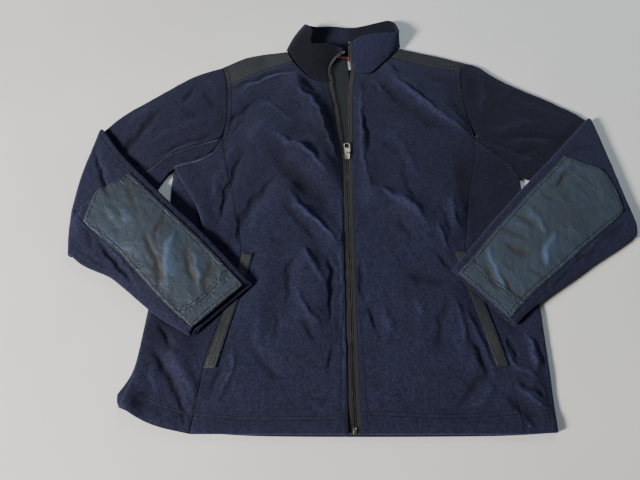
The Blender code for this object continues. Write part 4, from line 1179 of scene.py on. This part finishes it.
FORE_FOLDS = """
-3.4 4.9 -1.0 -445,73 -437,52 -427,29 -417,7 -409,-9 -399,-23 -394,-43;
1 8.8 0.2 -437,78 -423,46 -410,21 -392,-7;
-1.1 3.0 -0.5 -388,3 -375,-9 -367,-21 -359,-35 -351,-46 -343,-60 -339,-76;
-2 4.6 -0.6 -299,-52 -301,-71 -304,-87 -306,-103 -306,-121;
1.6 9.7 0.8 -271,-76 -280,-98 -283,-121 -281,-143 -280,-167 -275,-188 -268,-207;
-1.5 9.6 -0.9 -323,-84 -323,-109 -313,-128 -303,-143 -295,-164 -292,-185 -285,-204;
-1.6 6.3 -1.0 -251,-107 -255,-130 -253,-150 -246,-167 -238,-185 -242,-201;
1.6 5.0 0.6 -245,-131 -237,-150 -229,-170 -228,-193;
-1.5 6.5 -0.9 -214,-138 -217,-160 -219,-180 -218,-198 -212,-214;
0.8 6.2 0.1 -203,-150 -198,-172 -203,-196;
-0.8 6.0 -0.4 -240,-212 -254,-220 -266,-231;
1.2 9.8 0.4 -401,-48 -384,-67 -369,-80;
0.8 6.6 0.4 -368,-50 -360,-69 -361,-87;
-0.8 2.9 -0.4 -388,-80 -378,-74 -367,-73;
-0.8 2.9 -0.4 -382,-98 -372,-91 -360,-87;
-0.8 2.8 -0.3 -368,-118 -357,-112 -344,-112;
0.9 3.1 0.4 -356,-133 -344,-128 -333,-130;
0.9 3.7 0.4 -322,-167 -313,-160 -303,-164;
-3.4 7.9 -1.0 -401,-105 -388,-123 -374,-137 -362,-150 -351,-164 -339,-177 -329,-191;
1.5 4.9 0.35 -425,-73 -406,-94 -388,-112 -371,-130 -353,-152 -333,-175 -313,-196;
-0.9 2.8 -0.4 -439,-125 -422,-133 -404,-143 -390,-152 -372,-162 -354,-175;
-1.4 9.6 -0.5 -421,-91 -414,-109 -405,-123;
1 11.5 0.3 -440,-48 -441,-76 -436,-103;
-2.6 5.8 -0.9 395,31 382,19 367,7 352,-7 337,-21;
-1.6 4.0 -0.7 318,-25 326,-35 341,-37;
1.2 5.9 0.2 353,11 368,25 387,41;
-1.2 3.0 -0.4 292,-41 301,-54 313,-61 327,-69;
2 7.5 0.8 284,-48 293,-61 303,-76 308,-93 312,-112;
-1.7 5.2 -0.9 265,-63 277,-69 288,-78 298,-93;
-1.6 6.7 -0.9 238,-87 256,-98 270,-105 284,-111;
-1.7 8.7 -1.0 246,-118 258,-130 269,-138 282,-145;
1 2.9 0.4 262,-80 278,-89 292,-100;
2.4 8.8 1.0 330,-94 318,-112 308,-130 303,-147 298,-164;
-1.6 2.9 -0.6 267,-157 280,-164 289,-169 299,-180;
-1.7 5.8 -0.9 234,-170 237,-187 243,-198 252,-206 262,-215;
-1.6 5.0 -0.8 204,-147 208,-160 212,-174 216,-187 224,-199;
2 4.7 0.9 215,-114 217,-133 220,-150 224,-167 229,-183 239,-203;
-1.2 5.6 -0.7 232,-147 244,-159 255,-165;
1 3.8 0.4 333,-93 349,-94 363,-102 380,-111;
-1.2 4.6 -0.5 427,-46 406,-54 384,-61 363,-69;
-1 7.9 -0.5 447,67 427,71 407,69 385,61;
-1.8 11.3 -0.6 446,-80 420,-98 395,-114;
-1.6 5.7 -0.5 400,-119 374,-135 347,-152;
-1.6 5.5 -0.5 343,-162 323,-175 303,-190;
1 3.9 0.3 438,-80 405,-105 377,-125 349,-142 321,-162 294,-182;
1.4 17.1 0.25 415,31 425,1 426,-31;
"""
BODY_RELIEF = Relief(folds(FRONT_FOLDS + PLACKET_FOLD), (Ripple(0.5, 26, 80, 5), Ripple(0.22, 12, 26, 6)))
UPPER_RELIEF = Relief(folds(UPPER_FOLDS), (Ripple(0.5, 30, 90, 15), Ripple(0.22, 12, 26, 16)))
FORE_RELIEF = Relief(folds(FORE_FOLDS), (Ripple(0.4, 24, 70, 25), Ripple(0.25, 8, 20, 26)))


@dataclass
class Body:
    """Back, fronts and yokes."""

    garment: Garment
    back: Panel = Panel("back", (0.622, 0.711), 0.376, ("floor",), levels=2, seamed=False)
    fronts: tuple[Panel, ...] = (
        Panel("front_right_centre", (0.216, 0.685), 0.128, ("back",)),
        Panel("front_left_centre", (0.224, 0.697), 0.140, ("back",)),
        Panel("front_right_side", (0.152, 0.497), 0.0437, ("back",)),
        Panel("front_left_side", (0.114, 0.498), 0.0425, ("back",)),
    )
    yokes: tuple[Panel, ...] = (
        Panel("yoke_right", (0.145, 0.092), 0.00965, ("back",), "yoke", "yoke"),
        Panel("yoke_left", (0.140, 0.065), 0.00655, ("back",), "yoke", "yoke"),
    )
    bolder: float = 0.35  # how much of the solids' own swell is added
    level: float = 8.4  # mm, the height of the outer side where the front only lies
    deepest: float = -2.6  # mm, how far a trough may go
    painted_shade: float = -0.9  # painted shade on the left yoke

    def __post_init__(self) -> None:
        """Reads the fronts' own swell."""
        self.swell = Swell([panel.node for panel in self.fronts], self.level)

    def lift(self, points: Array, normals: Array) -> tuple[Array, Array]:
        """The fronts' rise and painted light and shade: the outer side follows the relief, the inner one
        hardly downwards.

        Args:
            points: the vertices in millimetres.
            normals: their normals.

        Returns:
            The rises in millimetres and the painted light and shade.
        """
        plan = points[:, :2]
        outer = smoothstep(*OUTER, normals[:, 2])
        height = BODY_RELIEF.at(plan) + self.bolder * np.maximum(self.swell.at(plan), -1.0)
        height = np.maximum(height, self.deepest)
        nap = BODY_RELIEF.nap(plan) + self.tone_and_painted_light(plan)
        return np.where(height > 0, height, height * (0.4 + 0.6 * outer)), nap * outer

    def tone_and_painted_light(self, plan: Array) -> Array:
        """The fronts' broad painted light and shade: lighter towards the hem, painted shade under the arms
        and beside the open zip.

        Args:
            plan: places in millimetres.

        Returns:
            The painted light and shade to add.
        """
        x, y = plan.T
        lower = 0.24 * smoothstep(100.0, -150.0, y) - 0.12
        left = smoothstep(176.0, 206.0, x) * smoothstep(-215.0, -130.0, y) * smoothstep(110.0, 40.0, y)
        right = smoothstep(-176.0, -200.0, x) * smoothstep(-310.0, -245.0, y) * smoothstep(-60.0, -130.0, y)
        open_zip = smoothstep(-62.0, -34.0, x) * smoothstep(-8.0, -14.0, x) * smoothstep(60.0, 130.0, y)
        return lower - 0.7 * left - 0.55 * right - 0.7 * open_zip

    def yoke_lift(self, points: Array, normals: Array) -> tuple[Array, Array]:
        """The yokes' rise and painted light and shade: painted shade darkens the left one."""
        rise, nap = self.lift(points, normals)
        return rise, nap + self.painted_shade * smoothstep(-5.0, 5.0, points[:, 0])

    def build(self) -> None:
        """Makes the pieces."""
        self.back.build(self.garment)
        for panel in self.fronts:
            panel.build(self.garment, self.lift)
        for panel in self.yokes:
            panel.build(self.garment, self.yoke_lift)


@dataclass
class Sleeve:
    """One sleeve: the fleece tube folded at the elbow, its under panel and the nylon patch."""

    garment: Garment
    side: Side
    over: float = 11.0  # mm, the height from which the forearm lies over the upper arm
    painted_shade: tuple[float, float] = (-0.25, -1.15)  # painted shade on the upper arm, right and left
    painted_sheen_spread: float = 1.6  # how much wider than the fold the patch's painted sheen and shade are

    def lift(self, points: Array, normals: Array) -> tuple[Array, Array]:
        """The rise and painted light and shade of the upper sleeve and of the forearm over it, each by its
        own relief.

        Args:
            points: the vertices in millimetres.
            normals: their normals.

        Returns:
            The rises in millimetres and the painted light and shade.
        """
        plan, z = points[:, :2], points[:, 2]
        fore = smoothstep(self.over, self.over + 2.0, z)
        upper = smoothstep(3.5, 5.5, z) * (1.0 - fore)
        height = UPPER_RELIEF.at(plan) * upper + FORE_RELIEF.at(plan) * fore
        painted_shade = self.painted_shade[self.side is Side.LEFT]
        nap = (UPPER_RELIEF.nap(plan) + painted_shade) * upper + FORE_RELIEF.nap(plan) * fore
        return height, nap * smoothstep(*OUTER, normals[:, 2])

    def patch_lift(self, points: Array, normals: Array) -> tuple[Array, Array]:
        """The patch's rise, and its painted sheen and shade, which change more slowly than the form."""
        return self.lift(points, normals)[0], 0.85 * FORE_RELIEF.nap(points[:, :2], self.painted_sheen_spread)

    def build(self) -> None:
        """Makes the pieces."""
        side = self.side.value
        below = ("floor", "back")
        Panel(f"sleeve_{side}", (0.37, 0.60), 0.172, below).build(self.garment, self.lift)
        Panel(f"sleeve_under_{side}", (0.11, 0.60), 0.045, below).build(self.garment, self.lift)
        patch = Panel(f"elbow_patch_{side}", (0.11, 0.36), 0.0325, (f"sleeve_{side}",), "nylon", "nylon")
        patch.build(self.garment, self.patch_lift)


@dataclass
class Collar:
    """The stand collar's two layers and the blank neck label."""

    garment: Garment
    outer: Panel = Panel("collar_outer", (0.50, 0.080), 0.0319, ("back",))
    inner: Panel = Panel("collar_inner", (0.49, 0.078), 0.0309, ("back",))
    label: Panel = Panel("label", (0.048, 0.036), 0.0017, ("back",), "label", "label", 2)

    def tone_and_painted_light(self, points: Array, normals: Array) -> tuple[Array, Array]:
        """No rise; painted shade darkens the right half."""
        return np.zeros(len(points)), 0.15 - 2.3 * smoothstep(-4.0, -22.0, points[:, 0])

    def shade(self, points: Array, normals: Array) -> tuple[Array, Array]:
        """No rise; painted shade darkens the inside but for its middle."""
        return np.zeros(len(points)), 1.3 * np.exp(-((points[:, 0] + 2.0) / 20.0) ** 2) - 1.7

    def build(self) -> None:
        """Makes the pieces."""
        for panel, lift in ((self.outer, self.tone_and_painted_light), (self.inner, self.shade), (self.label, still)):
            panel.build(self.garment, lift)


@dataclass
class Pockets:
    """The welts of the two slanted pockets."""

    garment: Garment
    flat: tuple[float, float] = (0.018, 0.185)
    area: float = 0.0032

    def build(self, body: Body) -> None:
        """Makes the welts.

        Args:
            body: the fronts that they lie on, whose relief they follow.
        """
        for side in ("right", "left"):
            Panel(f"pocket_welt_{side}", self.flat, self.area, (f"front_{side}_centre",), "welt", "yoke",
                  seamed=False).build(self.garment, body.lift)


@dataclass
class Repeat:
    """A small rounded form set again and again along curves, by geometry nodes."""

    name: str
    pitch: float
    size: Triple  # mm, along the curve, across it and upwards
    turn: float = 0.0
    uneven: float = 0.12
    sides: int = 6
    rings: int = 4
    seed: int = 11

    def tree(self) -> bpy.types.NodeTree:
        """Builds the node tree.

        Returns:
            The tree, with inputs named Curves, Pitch, Size, Turn, Uneven, Seed and Material.
        """
        made = bpy.data.node_groups.new(self.name, "GeometryNodeTree")
        for label, kind in (("Curves", "Geometry"), ("Pitch", "Float"), ("Size", "Vector"), ("Turn", "Float"),
                            ("Uneven", "Float"), ("Seed", "Int"), ("Material", "Material")):
            made.interface.new_socket(label, in_out="INPUT", socket_type="NodeSocket" + kind)
        made.interface.new_socket("Geometry", in_out="OUTPUT", socket_type="NodeSocketGeometry")
        g = Nodes(made)
        given = g.node("NodeGroupInput").outputs
        spots = g.node("GeometryNodeCurveToPoints", {"mode": "LENGTH"}, Curve=given["Curves"],
                       Length=given["Pitch"]).outputs
        along = g.node("FunctionNodeAlignRotationToVector", {"axis": "X"}, Vector=spots["Tangent"])
        angle = g.node("FunctionNodeAxisAngleToRotation", Axis=(0.0, 0.0, 1.0), Angle=given["Turn"])
        skew = g.node("FunctionNodeRotateRotation", {"rotation_space": "LOCAL"},
                      Rotation=along.outputs["Rotation"], Rotate_By=angle.outputs["Rotation"])
        ball = g.node("GeometryNodeMeshUVSphere", Segments=self.sides, Rings=self.rings, Radius=0.5)
        formed = g.node("GeometryNodeTransform", Geometry=ball.outputs["Mesh"], Scale=given["Size"])
        chance = g.node("FunctionNodeRandomValue", {"data_type": "FLOAT"}, Seed=given["Seed"])
        low, high = [i for i, socket in enumerate(chance.inputs) if socket.type == "VALUE"][:2]
        g.feed(chance, low, g.math("SUBTRACT", 1.0, given["Uneven"]))
        g.feed(chance, high, 1.0)
        scale = next(socket for socket in chance.outputs if socket.type == "VALUE")
        every = g.node("GeometryNodeInstanceOnPoints", Points=spots["Points"],
                       Instance=formed.outputs["Geometry"], Rotation=skew.outputs["Rotation"], Scale=scale)
        real = g.node("GeometryNodeRealizeInstances", Geometry=every.outputs["Instances"])
        coat = g.node("GeometryNodeSetMaterial", Geometry=real.outputs["Geometry"],
                      Material=given["Material"])
        g.node("NodeGroupOutput", Geometry=coat.outputs["Geometry"])
        return made

    def along(self, runs: Sequence[Array], material: Material) -> Piece:
        """Sets the forms along curves.

        Args:
            runs: the curves' points in millimetres, n by 3 each.
            material: their finish.

        Returns:
            The forms as one plain mesh.
        """
        data = bpy.data.curves.new(self.name, "CURVE")
        data.dimensions = "3D"
        for run in runs:
            spline = data.splines.new("POLY")
            spline.points.add(len(run) - 1)
            spline.points.foreach_set("co", np.hstack((run * MM, np.ones((len(run), 1)))).ravel())
        obj = added(self.name + "_curves", data)
        modifier = obj.modifiers.new("repeat", "NODES")
        modifier.node_group = self.tree()
        values = {"Pitch": self.pitch * MM, "Size": tuple(v * MM for v in self.size), "Turn": self.turn,
                  "Uneven": self.uneven, "Seed": self.seed, "Material": material}
        for item in modifier.node_group.interface.items_tree:
            if item.in_out == "INPUT" and item.name in values:
                modifier[item.identifier] = values[item.name]
        obj.update_tag()
        return settled(obj, self.name)


@dataclass
class Stitching:
    """All the rows of stitches on the cloth."""

    garment: Garment
    stitch: Repeat = field(default_factory=lambda: Repeat("stitches", 3.0, (2.5, 0.75, 0.5)))
    step: float = 2.0
    proud: float = 0.08
    steepest: float = 0.35  # the normal's Z from which cloth is sewn
    fewest: int = 4  # points that make a run

    def plan(self) -> None:
        """Lays out every row of stitches, before the cloth that it marks is made."""
        rows = self.garment.rows
        for side in Side:
            name, body, sleeve = side.value, side.sign, -side.sign
            fronts = (f"front_{name}_centre", f"front_{name}_side")
            patch, tube, under, yoke, welt = (f"{part}_{name}" for part in (
                "elbow_patch", "sleeve", "sleeve_under", "yoke", "pocket_welt"))
            for line, offsets, on in (
                (HEM_ROW[side], (0.0, 5.0), fronts),
                (ARMHOLE[side], (2.0 * body, 8.0 * body), fronts + (yoke,)),
                (YOKE_SEAM[side], (1.8 * sleeve, 7.2 * sleeve), (yoke,)),
                (UNDER_SEAM[side], (1.8 * sleeve, 7.2 * sleeve), (under,)),
                (ZIP_EDGE[side], (2.4 * sleeve, 10.0 * sleeve), fronts[:1]),
                (rim(patch), (1.6, 6.4), (patch,)),
                (CUFF_ROW[side], (0.0, 5.0), (patch, tube)),
                (TOP_STRIP[side], (3.0 * sleeve,), (tube,)),
                (POCKET_SEAM[side], (2.2 * sleeve,), fronts[1:]),
                (rim(welt), (1.6,), (welt,)),
            ):
                rows += [Row(line.beside(offset), on, turn) for turn, offset in enumerate(offsets)]
        log.info("stitching: %d rows", len(rows))

    def runs(self) -> list[Array]:
        """The rows as curves on the cloth, cut where it ends.

        Returns:
            The curves' points in millimetres.
        """
        trees = {on: tree_of([self.garment.pieces[name] for name in on])
                 for on in dict.fromkeys(row.on for row in self.garment.rows)}
        out: list[list[Triple]] = []
        for row in self.garment.rows:
            out.append([])
            for x, y in row.line.smooth(self.step).points:
                hit, normal = landing(trees[row.on], x, y)
                if hit is not None and normal.z > self.steepest:
                    out[-1].append((x, y, hit.z / MM + self.proud))
                else:
                    out.append([])
        return [np.array(run) for run in out if len(run) >= self.fewest]

    def build(self) -> None:
        """Sews the rows."""
        obj = self.stitch.along(self.runs(), self.garment.finishes.thread)
        dress(obj, (), "jacket", self.garment.finishes.thread)


@dataclass
class ZipFastener:
    """Tapes, coil, slider, pull, box and stops, with the wind flap behind."""

    garment: Garment
    flap: Panel = Panel("wind_flap", (0.050, 0.653), 0.0219, ("back",), "flap", "flap", 2, False)
    tape_flat: tuple[float, float] = (0.0100, 0.66)
    tape_area: float = 0.0045
    tooth: Repeat = field(default_factory=lambda: Repeat("coil", 1.45, (0.95, 2.9, 1.9), 0.16, 0.04, 8, 5))
    gap: float = 1.2  # mm, from which the solid's next points belong to the next bend of the teeth
    bevel: float = 0.3

    def tooth_line(self, side: Side) -> Array:
        """The middle of one side's teeth, from the hem to the collar.

        Args:
            side: the wearer's side.

        Returns:
            The line's points in millimetres.
        """
        points = vectors(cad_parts[f"zip_teeth_{side.value}"].data, "co") / MM
        line = Line(np.vstack((ZIP_EDGE[side].points, points[np.argmax(points[:, 1]), :2])))
        where = line.near(points[:, :2])[1]
        order = np.argsort(where)
        groups = np.split(order, np.flatnonzero(np.diff(where[order]) > self.gap) + 1)
        return np.array([points[group].mean(axis=0) for group in groups])

    def fitting(self, node: str, body: str) -> None:
        """One metal fitting with its edges rounded.

        Args:
            node: the frame's node.
            body: the body that it rides.
        """
        bm = bmesh.new()
        bm.from_mesh(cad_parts[node].data)
        bmesh.ops.remove_doubles(bm, verts=bm.verts, dist=1e-6)
        bmesh.ops.dissolve_limit(bm, angle_limit=math.radians(2.0), verts=bm.verts, edges=bm.edges)
        bmesh.ops.recalc_face_normals(bm, faces=bm.faces)
        obj = poured(bm, node + "_metal")
        modifier = obj.modifiers.new("bevel", "BEVEL")
        modifier.width = self.bevel * MM
        modifier.segments = 2
        modifier.limit_method = "ANGLE"
        modifier.angle_limit = math.radians(30.0)
        modifier.harden_normals = False
        dress(settled(obj, node + "_metal"), (node,), body, self.garment.finishes.metal)

    def build(self) -> None:
        """Makes the pieces."""
        g = self.garment
        self.flap.build(g)
        for side in ("right", "left"):
            Panel(f"zip_tape_{side}", self.tape_flat, self.tape_area, (f"front_{side}_centre",), "tape",
                  "tape", 2, False).build(g)
        teeth = self.tooth.along([self.tooth_line(side) for side in Side], g.finishes.coil)
        dress(teeth, [f"zip_teeth_{side.value}" for side in Side], "jacket", g.finishes.coil)
        for node in ("zip_slider", "zip_box", "zip_stop_right", "zip_stop_left"):
            self.fitting(node, "jacket")
        self.fitting("zip_pull", "pull")


@dataclass(frozen=True)
class Lamp:
    """A round soft light that faces the jacket's middle."""

    name: str
    at: Triple
    size: float
    power: float
    colour: Triple

    def build(self) -> None:
        """Adds the light."""
        data = bpy.data.lights.new(self.name, "AREA")
        data.shape = "DISK"
        data.size = self.size
        data.energy = self.power
        data.color = self.colour
        light = added(self.name, data)
        light.location = self.at
        light.rotation_euler = (-Vector(self.at)).to_track_quat("-Z", "Y").to_euler()


@dataclass
class Studio:
    """Floor, lights and camera."""

    paint: Material
    eye: Triple = (-0.047, -0.450, 0.700)
    tilt: float = 26.38
    lens: float = 27.06
    sensor: float = 36.0
    half_floor: float = 1.5
    floor_level: float = -0.0006
    key: Lamp = Lamp("key", (-2.65, -1.45, 1.45), 0.7, 290.0, (1.0, 0.98, 0.95))
    above: Lamp = Lamp("above", (0.5, 0.9, 1.3), 1.2, 13.0, (0.72, 0.86, 1.0))
    sky: tuple[float, ...] = (0.85, 0.88, 0.95, 1.0)
    sky_power: float = 0.06

    def build(self) -> None:
        """Makes the floor, lights, sky and camera."""
        mesh = bpy.data.meshes.new("floor")
        mesh.from_pydata([(x * self.half_floor, y * self.half_floor, self.floor_level)
                          for x, y in ((-1, -1), (1, -1), (1, 1), (-1, 1))], [], [(0, 1, 2, 3)])
        mesh.materials.append(self.paint)
        added("floor", mesh)
        self.key.build()
        self.above.build()
        world = bpy.data.worlds.new("sky")
        world.use_nodes = True
        background = world.node_tree.nodes["Background"]
        background.inputs[0].default_value = self.sky
        background.inputs[1].default_value = self.sky_power
        data = bpy.data.cameras.new("camera")
        data.lens = self.lens
        data.sensor_width = self.sensor
        camera = added("camera", data)
        camera.location = self.eye
        camera.rotation_euler = (math.radians(self.tilt), 0.0, 0.0)
        bpy.context.scene.world = world
        bpy.context.scene.camera = camera
        log.info("studio: floor, two lights, sky and camera")


def main() -> None:
    """Builds the sub-assemblies in order."""
    logging.basicConfig(level=logging.INFO, format="%(name)s %(message)s")
    garment = Garment()
    for side in Side:
        garment.seams += [Seam(ARMHOLE[side], side.sign), Seam(YOKE_SEAM[side], -side.sign),
                          Seam(UNDER_SEAM[side], -side.sign)]
    stitching = Stitching(garment)
    stitching.plan()
    body = Body(garment)
    body.build()
    for side in Side:
        Sleeve(garment, side).build()
    Collar(garment).build()
    Pockets(garment).build(body)
    ZipFastener(garment).build()
    stitching.build()
    Studio(garment.finishes.floor).build()


if __name__ == "__main__":
    main()
